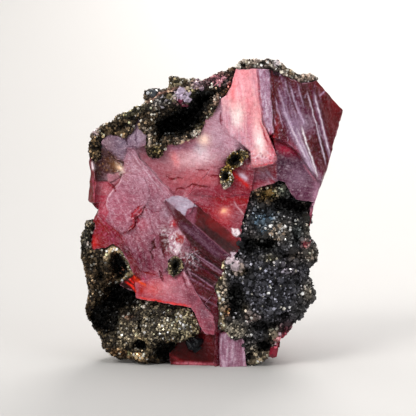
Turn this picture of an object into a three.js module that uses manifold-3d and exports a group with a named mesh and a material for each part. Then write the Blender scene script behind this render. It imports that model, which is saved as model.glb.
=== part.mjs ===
// A hand specimen of raspberry calcite: one cleaved, raspberry-red crystal with the dark, glittering
// sulphide crusts that grew on it. Millimetres, +Z up. The specimen stands on its flat bottom cleavage, it
// is seen from the front along +Y, and the origin is below its middle, on the surface that it stands on.
//
// Every piece is drawn as an outline in the front plane, a list of [x, z] points, and runs back along Y.
// The crystal is a rough block with cleavage plates standing out of its front and steps broken out of
// its back.

import * as THREE from "three";
import { ConvexGeometry } from "three/addons/geometries/ConvexGeometry.js";
import { mergeVertices } from "three/addons/utils/BufferGeometryUtils.js";
import Module from "manifold-3d";

const wasm = await Module();
wasm.setup();

// ---- Driving dimensions ----

const HEIGHT = 80; // drawn top of the crown crust; its tapered walls end up to 0.25 below it
const FIT_GAP = 0.3; // clearance between a crust and the pocket that it sits in
const FRONT_CUT = -40; // y in front of everything, where pockets start
const BACK_CUT = 40; // y behind everything, where back steps end
const CORE_FRONT = -12.5; // front of the block behind the cleavage plates
const PLATE_ROOT = -3; // y inside the block where the plates start
const PLATE_FLARE = 1.25; // how much wider a plate is at its root than at its face
const STEP_LEAN = 1.7; // how much wider a back step is at its far end than at its face
const GRID = 2.8; // spacing of the relief points on a crust's face
const CRUST_ROWS = 7; // rows of points along a crust's walls
const CRUST_ROW = 4.4; // spacing of those rows
const CRUST_END = 11; // y of the last row, behind every crust
const CRUST_FLOOR = 0.3; // lowest that a crust reaches
const CRUST_LEFT = -34.2; // furthest left that a crust reaches
const WOBBLE = 1.3; // how far a crust's walls wander from its outline, behind its face
const CRUST_TAPER = 0.09; // how much a crust closes in on the block towards the back
const CRUST_CENTRE = [1, 38]; // [x, z] that it closes in on

// Rings of the block, front to back: y, scale of the outline and the point that it shrinks towards.
const BLOCK_RINGS = [
  { y: -26, scale: 0.94, centre: [1, 40] },
  { y: -13, scale: 1, centre: [1, 40] },
  { y: 3, scale: 0.985, centre: [1, 40] },
  { y: 13, scale: 0.9, centre: [3, 36] },
  { y: 20.7, scale: 0.68, centre: [4, 36] },
];

// The crystal's own outline, without its crusts. The rings use a convex one, and the front is trimmed to
// the silhouette, which has the nicks.
const BLOCK_OUTLINE = [
  [-31, 60.2], [-32.6, 53.8], [-32.8, 43], [-32.8, 30], [-28.5, 15], [-20, 4.5], [-11.2, -3], [8.8, -3],
  [14.5, 1.6], [18.2, 4], [20.2, 10], [27, 42.2], [34.4, 66.9], [26.8, 75.1], [14.5, 78.8], [6, 77.8],
];
const SILHOUETTE = [
  [-30.6, 60.2], [-31.4, 57.6], [-32.5, 53.7], [-31.9, 50.4], [-32.7, 43.4], [-30.2, 40.7],
  [-31.3, 38.2], [-32.7, 30.4], [-28.5, 14], [-20, 4], [-11.9, 1.6], [-11.2, 0.8], [-11, -3], [8.6, -3],
  [8.9, 0.7], [14, 1.9], [17.9, 4.1], [18, 6.6], [20.1, 9.7], [22.4, 20], [25.2, 30.6], [25.2, 33.2],
  [26.7, 42.4], [29.4, 49.4], [30.4, 54.2], [34.2, 66.9], [26.8, 74.6], [26.2, 74.7], [23, 74.4],
  [20.6, 75.3], [17.6, 76.8], [14.4, 78.2], [11, 78.3], [6, 77.4], [-15, 71],
];

// ---- Cleavage plates of the front: outline and the face through three points [x, z, y] ----

const FRONT_PLATES = {
  centre_field: {
    outline: [
      [-20, 56], [-16.5, 66], [3, 75], [6, 60], [11, 51.5], [10, 45.5], [9, 40], [8, 30], [-4, 36],
      [-12, 44],
    ],
    face: [[-20, 56, -13.6], [3, 70, -14], [5, 42, -16.2]],
  },
  upper_left_field: {
    outline: [
      [-30.2, 59.6], [-27, 61.4], [-22.5, 60.6], [-20.2, 65.2], [-15.8, 66.2], [-17.8, 62.8],
      [-16.4, 58], [-19.8, 56.8], [-22, 57], [-22.8, 53.4], [-25, 54.2], [-28.5, 57.6],
    ],
    face: [[-30, 59.6, -12.9], [-20, 65, -14], [-24, 53.6, -15.2]],
  },
  amber_window: {
    outline: [[-31.4, 54.4], [-27, 54.6], [-23, 52.8], [-23, 50], [-27, 48], [-31.4, 48]],
    face: [[-31, 54, -12.6], [-23, 53, -13], [-27, 48, -13]],
  },
  left_rib: {
    outline: [[-32.6, 53.8], [-31.1, 53.4], [-30.4, 48], [-30.7, 42.8], [-32.7, 42.8]],
    face: [[-32.5, 53, -12.6], [-30.6, 53, -15.6], [-30.8, 43, -15.9]],
  },
  left_window: {
    outline: [[-30.6, 48.4], [-27, 48.1], [-25.4, 46.4], [-27.2, 44.6], [-27.8, 42.8], [-31, 42.8]],
    face: [[-30.8, 48, -13.9], [-25.4, 46.4, -14.9], [-28, 42.8, -15.1]],
  },
  left_field: {
    outline: [
      [-22.2, 56.8], [-20, 56.3], [-18.9, 54], [-17, 52.2], [-15, 49.9], [-13, 47.6], [-11.4, 46.5],
      [-10, 44.8], [-11.6, 43.6], [-5.5, 34], [-6.5, 28.5], [-8, 25], [-13, 23.4], [-17, 22.6],
      [-21.5, 30.6], [-23.3, 34.4], [-27, 37], [-29.7, 39.6], [-29.6, 43], [-27, 45], [-24.6, 47],
      [-23.2, 50], [-22.9, 54],
    ],
    face: [[-29, 42, -14.8], [-20, 56, -15.2], [-10, 30, -17.9]],
  },
  lobe: {
    outline: [
      [-27.7, 43.5], [-27, 45], [-25.3, 46.2], [-23.5, 48.2], [-22.4, 50.6], [-18, 49.6], [-16, 45],
      [-17.6, 42], [-18.6, 40.3], [-20.3, 38.8], [-20.3, 37], [-21.2, 36], [-23, 35], [-24.6, 35.2],
      [-26.6, 37.2], [-28.8, 40],
    ],
    face: [[-28.5, 41, -15.7], [-21, 50.5, -16], [-20.5, 36.5, -17.2]],
  },
  red_shoulder: {
    outline: [
      [-30, 39.2], [-24.3, 34.9], [-22, 31], [-18.6, 24.6], [-16.4, 21.6], [-20.4, 23.8], [-21.8, 26.6],
      [-23.7, 29.9], [-26, 31.2], [-28, 30], [-32.6, 30.2], [-32, 34.4], [-31, 37.4],
    ],
    face: [[-31.5, 33, -12.7], [-24.3, 35, -15.2], [-17, 22, -17.4]],
  },
  ember_chip: {
    outline: [[-25, 21.2], [-20.4, 24], [-19.4, 21], [-19.6, 18], [-23.8, 20.2]],
    face: [[-25, 21, -12.8], [-20.2, 23.6, -15.4], [-19.6, 18.4, -15.4]],
  },
  salmon_wedge: {
    outline: [
      [-20.2, 22.4], [-16, 22.8], [-13, 23.8], [-10, 24.2], [-7.5, 25.8], [-5.8, 23], [-4, 19.5],
      [-1.5, 16], [0.3, 13.5], [0.7, 10.5], [0.4, 8.6], [-2, 9.1], [-3.3, 11], [-4.8, 14.5],
      [-5.5, 15.8], [-10.5, 16.4], [-15, 17.2], [-20, 18],
    ],
    face: [[-20, 20, -17.2], [-7.5, 25.5, -18.9], [0, 10, -19.6]],
  },
  ridge_cap: {
    outline: [
      [-12.3, 44], [-9.6, 44.8], [-6.5, 44.3], [-4.7, 42.8], [-5.6, 40.6], [-7.2, 39.5], [-9.6, 41.6],
    ],
    face: [[-12.2, 43.9, -17.5], [-5, 42.8, -17.3], [-7.2, 39.6, -19.1]],
  },
  ridge_upper: {
    outline: [[-6.2, 42.6], [-4.5, 42.7], [1.2, 38], [7, 33.2], [7.4, 31.4], [4.9, 28.9], [-7.3, 39.5]],
    face: [[-7.2, 39.6, -19.1], [4.9, 29, -19.6], [6.6, 33.4, -16.9]],
  },
  ridge_lower: {
    outline: [[-12.7, 43.4], [-12.2, 44], [-7.2, 39.6], [4.9, 29], [3.6, 26], [-5, 31.4], [-8.6, 36]],
    face: [[-7.2, 39.6, -19.1], [4.9, 29, -19.6], [-5, 31.5, -17.2]],
  },
  ridge_steps: {
    outline: [
      [-5.2, 31.6], [3.8, 26.2], [3.6, 22.8], [1.2, 22], [0.7, 20], [2, 16], [-1.5, 15.6], [-4, 19.5],
      [-5.8, 23], [-7.4, 25.8], [-6.2, 28.8],
    ],
    face: [[-5, 31.4, -17.2], [3.6, 26, -17.2], [-1.2, 16, -19]],
  },
  ruby_hollow: {
    outline: [[-4.7, 42.9], [0, 44.6], [10.2, 44.8], [9, 40.5], [8.2, 36], [6.9, 33.2], [1.2, 38]],
    face: [[-4, 42.8, -15.7], [10, 44.8, -15.1], [6.8, 34, -16.2]],
  },
  rose_field: {
    outline: [
      [0, 52], [5.5, 52.4], [11, 51.6], [16.5, 53.1], [17.5, 50.2], [19, 48.4], [16, 45], [9.6, 44.2],
      [0, 44.4], [-6, 45],
    ],
    face: [[0, 51, -15.6], [17, 51, -15], [2, 44.5, -16.2]],
  },
  bright_block: {
    outline: [
      [2.2, 69.8], [4.6, 73], [4.9, 75], [6, 77.6], [11.2, 78.4], [12.4, 68], [12.9, 63.5], [14.7, 60],
      [16.6, 55], [16.7, 54], [16, 53.2], [13.8, 52.4], [12, 52], [10.6, 51.9], [10, 53], [9.9, 56],
      [8.4, 57.4], [4.4, 60.4], [3, 63.4], [2.4, 66.5],
    ],
    face: [[3, 70, -14.8], [11, 78, -15.2], [14, 53, -17.9]],
  },
  frosted_strip: {
    outline: [[11.2, 78.4], [14.5, 78.2], [15.1, 70], [15.9, 61], [14.8, 60.4], [13, 63.4], [12.3, 68]],
    face: [[11.4, 77, -15.3], [14.5, 78, -16], [15.3, 61, -17.9]],
  },
  right_field: {
    outline: [
      [14.5, 78.4], [20, 76.2], [26.6, 75], [34.2, 66.9], [30.4, 54], [28.2, 48.6], [27.1, 48.9],
      [24.6, 52.4], [22.3, 55.8], [20, 57.8], [18, 59.1], [15.7, 59.8], [15, 70],
    ],
    face: [[15, 77, -15.9], [34, 67, -12.9], [22, 56, -17]],
  },
  under_right_field: {
    outline: [
      [15.7, 60], [18, 59.2], [20, 58], [22.3, 56], [24.6, 52.6], [27, 49.2], [28.7, 49.4], [26.9, 42],
      [20, 42], [17, 47.6], [16.4, 53], [16.8, 54.3],
    ],
    face: [[16, 58, -14.9], [28, 49, -13.4], [20, 43, -14.6]],
  },
  bottom_slab: {
    outline: [[-11.3, 0], [-11.4, 3], [-9, 6.8], [-3.4, 9], [-2, 11], [1.2, 11], [1.9, 8], [1.9, 0]],
    face: [[-11, 3, -15.2], [1.5, 9, -16.2], [1.5, 0, -16.6]],
  },
  bottom_strip: {
    outline: [[0.5, 0], [1.9, 0], [2.2, 16], [0.9, 20.4], [-1.8, 17], [0.4, 13.4], [0.7, 10.4]],
    face: [[0.4, 12, -18.4], [2, 12, -17], [1.2, 0, -17.2]],
  },
  bottom_block: {
    outline: [[1.9, 0], [1.8, 8.6], [4, 9.2], [8.2, 8.8], [8.9, 0]],
    face: [[1.9, 8, -17.9], [8.8, 8, -17.3], [5, 0, -17.8]],
  },
};

// ---- Steps broken out of the back: everything behind the face goes, inside the outline ----

const BACK_STEPS = {
  upper_left_break: {
    outline: [[-40, 34], [-40, 90], [-2, 90], [4, 66], [-3, 49], [-12, 37], [-24, 31]],
    face: [[-30, 50, 6], [0, 78, 9], [0, 50, 14.5]],
  },
  upper_right_break: {
    outline: [[4, 66], [-2, 90], [45, 90], [45, 58], [30, 52], [16, 58]],
    face: [[34, 66, 4], [4, 78, 9.5], [10, 60, 16]],
  },
  right_break: {
    outline: [[16, 58], [30, 52], [45, 58], [45, -5], [17, -5], [13, 22], [18, 40]],
    face: [[30, 50, 5.5], [20, 10, 5], [14, 45, 16.5]],
  },
  lower_left_break: {
    outline: [[-12, 37], [-24, 31], [-40, 34], [-40, -5], [-9, -5], [-14, 17]],
    face: [[-30, 30, 4], [-20, 5, 8], [-10, 22, 16]],
  },
  middle_break: {
    outline: [[-3, 49], [4, 66], [16, 58], [18, 40], [7, 33]],
    face: [[-3, 49, 15.2], [16, 58, 15.6], [10, 36, 18.6]],
  },
  foot_break: {
    outline: [[-14, 17], [-9, -5], [17, -5], [13, 22], [0, 14]],
    face: [[-12, 12, 15.2], [13, 12, 14.4], [0, 0, 13]],
  },
  lower_keel: {
    outline: [[-30, 44], [-4, 29], [9, 37], [30, 24], [30, 0], [-30, 0]],
    face: [[-14, 17, 15.2], [13, 20, 16.4], [2, 34, 20.3]],
  },
  upper_keel: {
    outline: [[-30, 44], [-4, 29], [9, 37], [12, 60], [-30, 60]],
    face: [[-4, 29, 19.6], [9, 37, 19.9], [-6, 47, 15.6]],
  },
};

// Terraces on those broken faces: a shallower step, parallel to the face, with edges along the cleavage.
const BACK_TERRACES = [
  {
    on: "upper_left_break",
    depth: 1.4,
    outline: [[-45, 44.8], [-17, 57.2], [-12, 74.6], [-8, 90], [-45, 90]],
  },
  {
    on: "upper_left_break",
    depth: 1,
    outline: [[-45, 32], [-24, 41.3], [-14, 31.3], [-20, 10], [-45, 10]],
  },
  {
    on: "upper_left_break",
    depth: 2.3,
    outline: [[-45, 62], [-26, 70.4], [-22, 90], [-45, 90]],
  },
  {
    on: "upper_right_break",
    depth: 1.2,
    outline: [[19, 90], [13, 69], [45, 83.2], [45, 90]],
  },
  {
    on: "upper_right_break",
    depth: 0.9,
    outline: [[20, 45], [24, 63], [45, 72.4], [45, 45]],
  },
  {
    on: "right_break",
    depth: 1.5,
    outline: [[45, 40], [22, 29.8], [18, 15.8], [24, 9.8], [45, -11]],
  },
  {
    on: "middle_break",
    depth: 1.1,
    outline: [[0, 62], [8, 54], [14, 48], [24, 52.4], [24, 66], [4, 72]],
  },
  {
    on: "foot_break",
    depth: 1.2,
    outline: [[-24, -5], [-24, 4], [2, 15.6], [8, 9.6], [4, -5]],
  },
  {
    on: "lower_left_break",
    depth: 1.3,
    outline: [[-45, -5], [-45, 12], [-22, 22.2], [-14, 14.2], [-20, -5]],
  },
];

// ---- Crusts: outline, face relief and how far back they reach ----

const gauss = (t) => Math.exp(-t * t);
const ramp = (low, high, t) => THREE.MathUtils.smoothstep(t, low, high);

// Gentle botryoidal lumps, up to 1 high or deep, a few millimetres apart.
function lumps(x, z) {
  return (
    0.5 * Math.sin(x * 1.13 + 0.7 * z) * Math.cos(z * 0.97 - 0.4 * x) +
    0.5 * Math.sin(x * 0.61 - z * 0.53 + 1.3)
  );
}

// How far the back edge of a crust runs out and in, in the view from a side.
function wander(x, z) {
  return 3 * Math.sin(0.44 * z + 0.36 * x + 0.6) + 2 * Math.sin(0.71 * z - 0.52 * x + 2.4);
}

const RIGHT_CRUST = {
  outline: [
    [10.1, 45.6], [13, 46.9], [15.6, 47.4], [17.5, 48.2], [18.6, 48], [20, 45.4], [22, 43.2], [26, 42.5],
    [24.9, 40.4], [24.7, 37], [24, 34], [25.6, 31.2], [27.4, 29.4], [27, 27.6], [25, 26.4], [24.3, 24],
    [24.4, 21.8], [25.9, 19.9], [26.1, 17.5], [24.3, 15.4], [22.5, 13], [20.2, 12], [19.5, 10],
    [17.3, 8.6], [16, 6], [15, 4], [13, 2], [11.5, 1.3], [10, 0.4], [8.9, 0.8], [8.6, 7.4], [7.4, 8.7],
    [5.8, 7.5], [4, 9], [1.9, 9.8], [2.2, 12], [2, 15.5], [1.5, 17], [1.9, 18.5], [0.8, 20], [1.2, 22],
    [3, 22.9], [3.5, 24.5], [3.5, 27.4], [5, 28.6], [7.5, 28.4], [7.4, 31], [7.9, 34], [8, 38], [9, 41],
    [9.7, 43.6],
  ],
  front: (x, z) =>
    -15.4 -
    5.4 * gauss((x - 13) / 11) * gauss((z - 20) / 15) +
    2.4 * ramp(36, 44, z) +
    4 * ramp(20, 28, x) -
    0.7 * lumps(x, z),
  back: (x, z) => -9 + 9 * ramp(17, 26, x) + ramp(20, 25, x) * wander(x, z),
};

const LOWER_LEFT_CRUST = {
  outline: [
    [-33.2, 37], [-34, 33.5], [-34, 30], [-33.4, 27], [-32.8, 22], [-32.4, 18], [-33.4, 14], [-31.8, 11],
    [-30.2, 8.8], [-28.6, 6], [-28.2, 3.4], [-26, 2.2], [-22, 2], [-18, 1.3], [-15.8, 1], [-13.5, 0.4],
    [-11.8, 1], [-11.7, 3.2], [-9.4, 7], [-7.4, 7.6], [-4.3, 8.6], [-3.8, 10.8], [-4.9, 13.2],
    [-5.9, 15.3], [-10.5, 16], [-15, 16.8], [-20.2, 17.6], [-20.4, 19], [-24, 20], [-25, 21],
    [-23.8, 22.1], [-21.2, 23.4], [-20.8, 24], [-22, 26.8], [-24, 30.1], [-26, 31.4], [-28, 30.2],
    [-31, 29.6], [-32.4, 30.6], [-32, 34], [-31.4, 37],
  ],
  front: (x, z) =>
    -12.6 -
    7 * gauss((x + 12) / 11) * gauss((z - 8) / 9) -
    2.4 * gauss((x + 24) / 4) * gauss((z - 27) / 5) +
    4 * gauss((x + 26) / 5) * gauss((z - 17.5) / 4) +
    2.5 * gauss((x + 12.5) / 3.5) * gauss((z - 3.6) / 2.4) -
    0.7 * lumps(x, z),
  back: (x, z) => {
    const side = 1 - ramp(-30, -20, x);
    const foot = 1 - ramp(3, 9, z);
    return -8 + 6 * Math.max(side, foot) + 0.8 * side * wander(x, z);
  },
};

const TOP_CRUST = {
  outline: [
    [-31.4, 60.4], [-29, 62.1], [-26, 63.3], [-24.6, 65], [-22, 66], [-20, 67.3], [-17.6, 68.1],
    [-16.4, 69.3], [-17.3, 72.3], [-15.4, 72.3], [-13, 71.4], [-10.7, 72], [-10.9, 74.9], [-6, 74.6],
    [-3, 74.8], [0, 75.7], [3, 76.7], [5.6, 77.6], [5, 75], [4.6, 73], [3.4, 71], [1.8, 69.9],
    [0.9, 68.2], [-0.6, 66.2], [-2.1, 65], [-2.9, 62.5], [-4.1, 61], [-6.8, 59.8], [-8.5, 58.6],
    [-12.4, 58.8], [-12.9, 57], [-14, 55.4], [-15.6, 55], [-16.7, 56], [-17, 59], [-16.8, 61],
    [-18.6, 62.6], [-18, 64.7], [-16.2, 65.8], [-20, 65], [-21, 62.3], [-22.5, 60.5], [-25, 60.8],
    [-27, 61.4], [-28.6, 60], [-29.8, 58.5], [-29.8, 54.4], [-31.4, 54.4], [-31.9, 57.5],
  ],
  front: (x, z) => -12.8 - 2.2 * ramp(-31, -20, x) + 2.2 * ramp(66, 75, z) - 0.5 * lumps(x, z),
  back: (x, z) => -1.2 + 2.4 * ramp(-12, 6, x) + 0.8 * wander(x, z),
};

// The open vug inside the top crust, from its front to its floor.
const VUG = {
  outline: [
    [-3.9, 71.8], [0, 72.2], [3.6, 72.8], [2, 70.8], [-0.2, 69.4], [-1.6, 66.8], [-3.2, 65.2],
    [-4, 62.6], [-5.4, 61.4], [-7.4, 60.8], [-9, 59.8], [-12.2, 60], [-13.6, 58.4], [-14.4, 56.6],
    [-15.6, 56.4], [-15.8, 59], [-15.6, 61], [-17.2, 62.8], [-16.6, 64.2], [-14, 64.9], [-12, 66.3],
    [-9, 67], [-6, 68], [-4.2, 70],
  ],
  floor: -7.5,
  taper: 0.86,
};

const CROWN_CRUST = {
  outline: [
    [6.5, 77.8], [7, 79.2], [9, 79.7], [12, 79.5], [14.6, HEIGHT], [16.8, 79.4], [18.2, 78.4],
    [19.9, 77.2], [22, 75.9], [25, 75.9], [26.8, 75], [26, 74.4], [23, 74.2], [20.6, 75.2], [17.6, 76.6],
    [14.6, 77.8], [11, 78],
  ],
  front: (x, z) => -14.6 + 2.2 * ramp(16, 26, x) - 0.4 * lumps(x, z),
  back: (x, z) => 1.5 + wander(x, z),
};

// Small druse-lined pits in the face of the crystal. hole is the mouth of the pit.
const PITS = {
  upper_pit_druse: {
    outline: [
      [3.9, 52.8], [4.2, 54.4], [5.4, 55.7], [7, 56.3], [8.7, 56], [9, 54.9], [7.7, 54.3], [7.5, 52.9],
      [6.2, 52.5], [5.2, 51.8],
    ],
    hole: [[4.6, 52.9], [4.9, 54.2], [6, 55], [7.2, 55], [6.8, 53.8], [5.9, 53.2], [5.1, 52.6]],
    front: -16.8,
  },
  middle_pit_druse: {
    outline: [
      [2.2, 49.8], [2.5, 51.2], [3.6, 51.9], [4.4, 51.1], [4.9, 49.6], [5.1, 48.4], [4.2, 47.5],
      [3.3, 46.8], [2.5, 48],
    ],
    hole: [[2.9, 49.9], [3.3, 50.9], [4, 50.6], [4.3, 49.2], [3.6, 48.5], [3, 49]],
    front: -16.9,
  },
  lower_pit_druse: {
    outline: [
      [-11.2, 26.5], [-10.8, 28], [-9.6, 28.9], [-8.4, 28], [-7.9, 26.2], [-8.7, 24.9], [-10, 24.2],
      [-11, 25],
    ],
    hole: [[-10.5, 26.5], [-10.1, 27.9], [-9.3, 28], [-8.8, 26.7], [-9.3, 25.6], [-10.1, 25.5]],
    front: -19,
  },
};
const PIT_ROOT = -11; // how far back the druse of a pit reaches
const PIT_FLOOR = -13.5; // floor of the pit's hole

// The single black crystal low on the front: centre, half axes and turn.
const BLACK_CRYSTAL = { centre: [-4.7, -17.9, 5.8], radius: [2.5, 1.9, 2.4], turn: [0.5, 0.35, 0.6] };

// ---- Geometry helpers ----

function solidOf(geometry) {
  const bare = new THREE.BufferGeometry().setAttribute("position", geometry.getAttribute("position"));
  if (geometry.index) bare.setIndex(geometry.index);
  const merged = mergeVertices(bare, 1e-4);
  const vertProperties = new Float32Array(merged.attributes.position.array);
  const triVerts = new Uint32Array(merged.index.array);
  return new wasm.Manifold(new wasm.Mesh({ numProp: 3, vertProperties, triVerts }));
}

function geometryOf(solid) {
  const mesh = solid.getMesh();
  const geometry = new THREE.BufferGeometry();
  geometry.setAttribute("position", new THREE.BufferAttribute(mesh.vertProperties, 3));
  geometry.setIndex(new THREE.BufferAttribute(mesh.triVerts, 1));
  geometry.computeVertexNormals();
  return geometry;
}

// The solid without the chips that a cut has left loose at an edge.
function biggestBody(solid) {
  return solid.decompose().sort((a, b) => b.volume() - a.volume())[0];
}

// y of the plane through three points [x, z, y], as a function of x and z.
function planeThrough([a, b, c]) {
  const u = new THREE.Vector3(b[0] - a[0], b[1] - a[1], b[2] - a[2]);
  const v = new THREE.Vector3(c[0] - a[0], c[1] - a[1], c[2] - a[2]);
  const n = u.cross(v);
  return (x, z) => a[2] - (n.x * (x - a[0]) + n.y * (z - a[1])) / n.z;
}

function middleOf(outline) {
  const sum = outline.reduce(([x, z], point) => [x + point[0], z + point[1]], [0, 0]);
  return sum.map((value) => value / outline.length);
}

// The outline with every corner moved out by a distance, along the mean of its two edges' normals.
function offsetOutline(outline, distance) {
  const points = outline.map(([x, z]) => new THREE.Vector2(x, z));
  const side = THREE.ShapeUtils.isClockWise(points) ? -1 : 1;
  return points.map((point, i) => {
    const before = points[(i + points.length - 1) % points.length];
    const after = points[(i + 1) % points.length];
    const first = point.clone().sub(before).normalize();
    const second = after.clone().sub(point).normalize();
    const normal = new THREE.Vector2(first.y + second.y, -first.x - second.x).normalize();
    const sharpness = Math.max(0.5, normal.dot(new THREE.Vector2(first.y, -first.x)));
    const reach = (side * distance) / sharpness;
    return [point.x + reach * normal.x, point.y + reach * normal.y];
  });
}

// A prism along Y from y = back to a front face given by a function of x and z. The back end can be
// scaled about the outline's middle, which leans the walls.
function prism(outline, front, back, backScale = 1) {
  const shape = new THREE.Shape(outline.map(([x, z]) => new THREE.Vector2(x, z)));
  const geometry = new THREE.ExtrudeGeometry(shape, { depth: 1, bevelEnabled: false });
  const middle = middleOf(outline);
  const position = geometry.getAttribute("position");
  for (let i = 0; i < position.count; i += 1) {
    const x = position.getX(i);
    const z = position.getY(i);
    if (position.getZ(i) > 0.5) {
      position.setXYZ(i, x, front(x, z), z);
    } else {
      const backX = middle[0] + (x - middle[0]) * backScale;
      const backZ = middle[1] + (z - middle[1]) * backScale;
      position.setXYZ(i, backX, back, backZ);
    }
  }
  return solidOf(geometry);
}

// How far the walls of a crust have wandered from its outline at a point, as [x, z].
function wobble(x, y, z) {
  const reach = WOBBLE * ramp(-17, -6, y);
  const dx = Math.sin(0.43 * y + 0.31 * z + 0.8) + 0.6 * Math.sin(0.9 * y - 0.5 * z + 0.22 * x);
  const dz = Math.sin(0.39 * y - 0.36 * x + 2.1) + 0.6 * Math.sin(0.83 * y + 0.47 * x - 0.2 * z);
  return [reach * 0.7 * dx, reach * (0.7 * dz - 0.8 * ramp(40, 60, z))];
}

// A prism along Y, from in front of everything to behind the crusts, whose walls wander.
function wanderingPrism(outline) {
  const shape = new THREE.Shape(outline.map(([x, z]) => new THREE.Vector2(x, z)));
  const rows = { depth: CRUST_ROWS, steps: CRUST_ROWS, bevelEnabled: false };
  const geometry = new THREE.ExtrudeGeometry(shape, rows);
  const position = geometry.getAttribute("position");
  for (let i = 0; i < position.count; i += 1) {
    const x = position.getX(i);
    const z = position.getY(i);
    const row = Math.round(position.getZ(i));
    const y = row === CRUST_ROWS ? FRONT_CUT : CRUST_END - row * CRUST_ROW;
    const [dx, dz] = wobble(x, y, z);
    const narrow = 1 - CRUST_TAPER * ramp(-10, CRUST_END, y);
    const wallX = CRUST_CENTRE[0] + (x - CRUST_CENTRE[0]) * narrow + dx;
    const wallZ = CRUST_CENTRE[1] + (z - CRUST_CENTRE[1]) * narrow + dz;
    position.setXYZ(i, Math.max(wallX, CRUST_LEFT), y, Math.max(wallZ, CRUST_FLOOR));
  }
  return solidOf(geometry);
}

// A slab with relief on its front and back, cut to an outline. Its grid lies on whole multiples of GRID, so
// that a crust and its pocket, which share a relief, share the facets too.
function reliefSlab({ outline, front, back }) {
  const xs = outline.map(([x]) => x);
  const zs = outline.map(([, z]) => z);
  const low = [xs, zs].map((values) => Math.floor((Math.min(...values) - 3) / GRID) * GRID);
  const steps = [xs, zs].map((values, i) => Math.ceil((Math.max(...values) + 3 - low[i]) / GRID));
  const size = steps.map((count) => count * GRID);
  const box = new THREE.BoxGeometry(size[0], 1, size[1], steps[0], 1, steps[1]);
  box.translate(low[0] + size[0] / 2, 0, low[1] + size[1] / 2);
  const position = box.getAttribute("position");
  for (let i = 0; i < position.count; i += 1) {
    const height = position.getY(i) < 0 ? front : back;
    position.setY(i, height(position.getX(i), position.getZ(i)));
  }
  return biggestBody(solidOf(box).intersect(wanderingPrism(outline)));
}

// The pocket that a crust sits in: open to the front, a fit gap wider than the crust and behind it.
function pocketOf({ outline, back }) {
  const wide = offsetOutline(outline, FIT_GAP);
  return reliefSlab({ outline: wide, front: () => FRONT_CUT, back: (x, z) => back(x, z) + FIT_GAP });
}

// ---- The crystal ----

function ring({ y, scale, centre }) {
  return BLOCK_OUTLINE.map(([x, z]) => {
    const rx = centre[0] + (x - centre[0]) * scale;
    const rz = centre[1] + (z - centre[1]) * scale;
    return new THREE.Vector3(rx, y, rz);
  });
}

function halfSpaceBox(x0, x1, y0, y1, z0, z1) {
  const box = new THREE.BoxGeometry(x1 - x0, y1 - y0, z1 - z0);
  box.translate((x0 + x1) / 2, (y0 + y1) / 2, (z0 + z1) / 2);
  return solidOf(box);
}

function crystalBlock() {
  const hull = solidOf(new ConvexGeometry(BLOCK_RINGS.flatMap(ring)));
  return hull.intersect(halfSpaceBox(-60, 60, FRONT_CUT, BACK_CUT, 0, 120));
}

function cleavedCrystal() {
  const block = crystalBlock();
  let crystal = block.intersect(halfSpaceBox(-60, 60, CORE_FRONT, BACK_CUT, 0, 120));
  for (const { outline, face } of Object.values(FRONT_PLATES)) {
    crystal = crystal.add(prism(outline, planeThrough(face), PLATE_ROOT, PLATE_FLARE));
  }
  crystal = crystal.intersect(block).intersect(prism(SILHOUETTE, () => FRONT_CUT, BACK_CUT));
  for (const { outline, face } of Object.values(BACK_STEPS)) {
    const behind = planeThrough(face);
    crystal = crystal.subtract(prism(outline, behind, BACK_CUT, STEP_LEAN));
  }
  for (const { on, depth, outline } of BACK_TERRACES) {
    const broken = planeThrough(BACK_STEPS[on].face);
    crystal = crystal.subtract(prism(outline, (x, z) => broken(x, z) - depth, BACK_CUT));
  }
  return crystal;
}

// ---- Crusts and small crystals ----

function topCrust() {
  const cavity = prism(VUG.outline, () => FRONT_CUT, VUG.floor, VUG.taper);
  return reliefSlab(TOP_CRUST).subtract(cavity);
}

function pitDruse({ outline, hole, front }) {
  const body = prism(outline, () => front, PIT_ROOT);
  return body.subtract(prism(hole, () => FRONT_CUT, PIT_FLOOR));
}

function pitPocket({ outline }) {
  return prism(offsetOutline(outline, FIT_GAP), () => FRONT_CUT, PIT_ROOT + FIT_GAP);
}

function blackCrystalGeometry(extra) {
  const geometry = new THREE.IcosahedronGeometry(1, 0);
  geometry.scale(...BLACK_CRYSTAL.radius.map((r) => r + extra));
  geometry.rotateX(BLACK_CRYSTAL.turn[0]);
  geometry.rotateY(BLACK_CRYSTAL.turn[1]);
  geometry.rotateZ(BLACK_CRYSTAL.turn[2]);
  geometry.translate(...BLACK_CRYSTAL.centre);
  return geometry;
}

// ---- Assembly ----

const specimen = new THREE.Group();
specimen.name = "raspberry_calcite";

function addPiece(name, solid, color, roughness, metalness) {
  const material = new THREE.MeshStandardMaterial({ color, roughness, metalness, flatShading: true });
  const mesh = new THREE.Mesh(geometryOf(solid), material);
  mesh.name = name;
  specimen.add(mesh);
}

const blackCrystal = solidOf(blackCrystalGeometry(0));
const blackPocket = solidOf(blackCrystalGeometry(FIT_GAP));
const pits = Object.entries(PITS);
const crusts = {
  right_crust: RIGHT_CRUST,
  lower_left_crust: LOWER_LEFT_CRUST,
  top_crust: TOP_CRUST,
  crown_crust: CROWN_CRUST,
};

let crystal = cleavedCrystal().subtract(blackPocket);
for (const crust of Object.values(crusts)) crystal = crystal.subtract(pocketOf(crust));
for (const [, pit] of pits) crystal = crystal.subtract(pitPocket(pit));
crystal = biggestBody(crystal);

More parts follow.
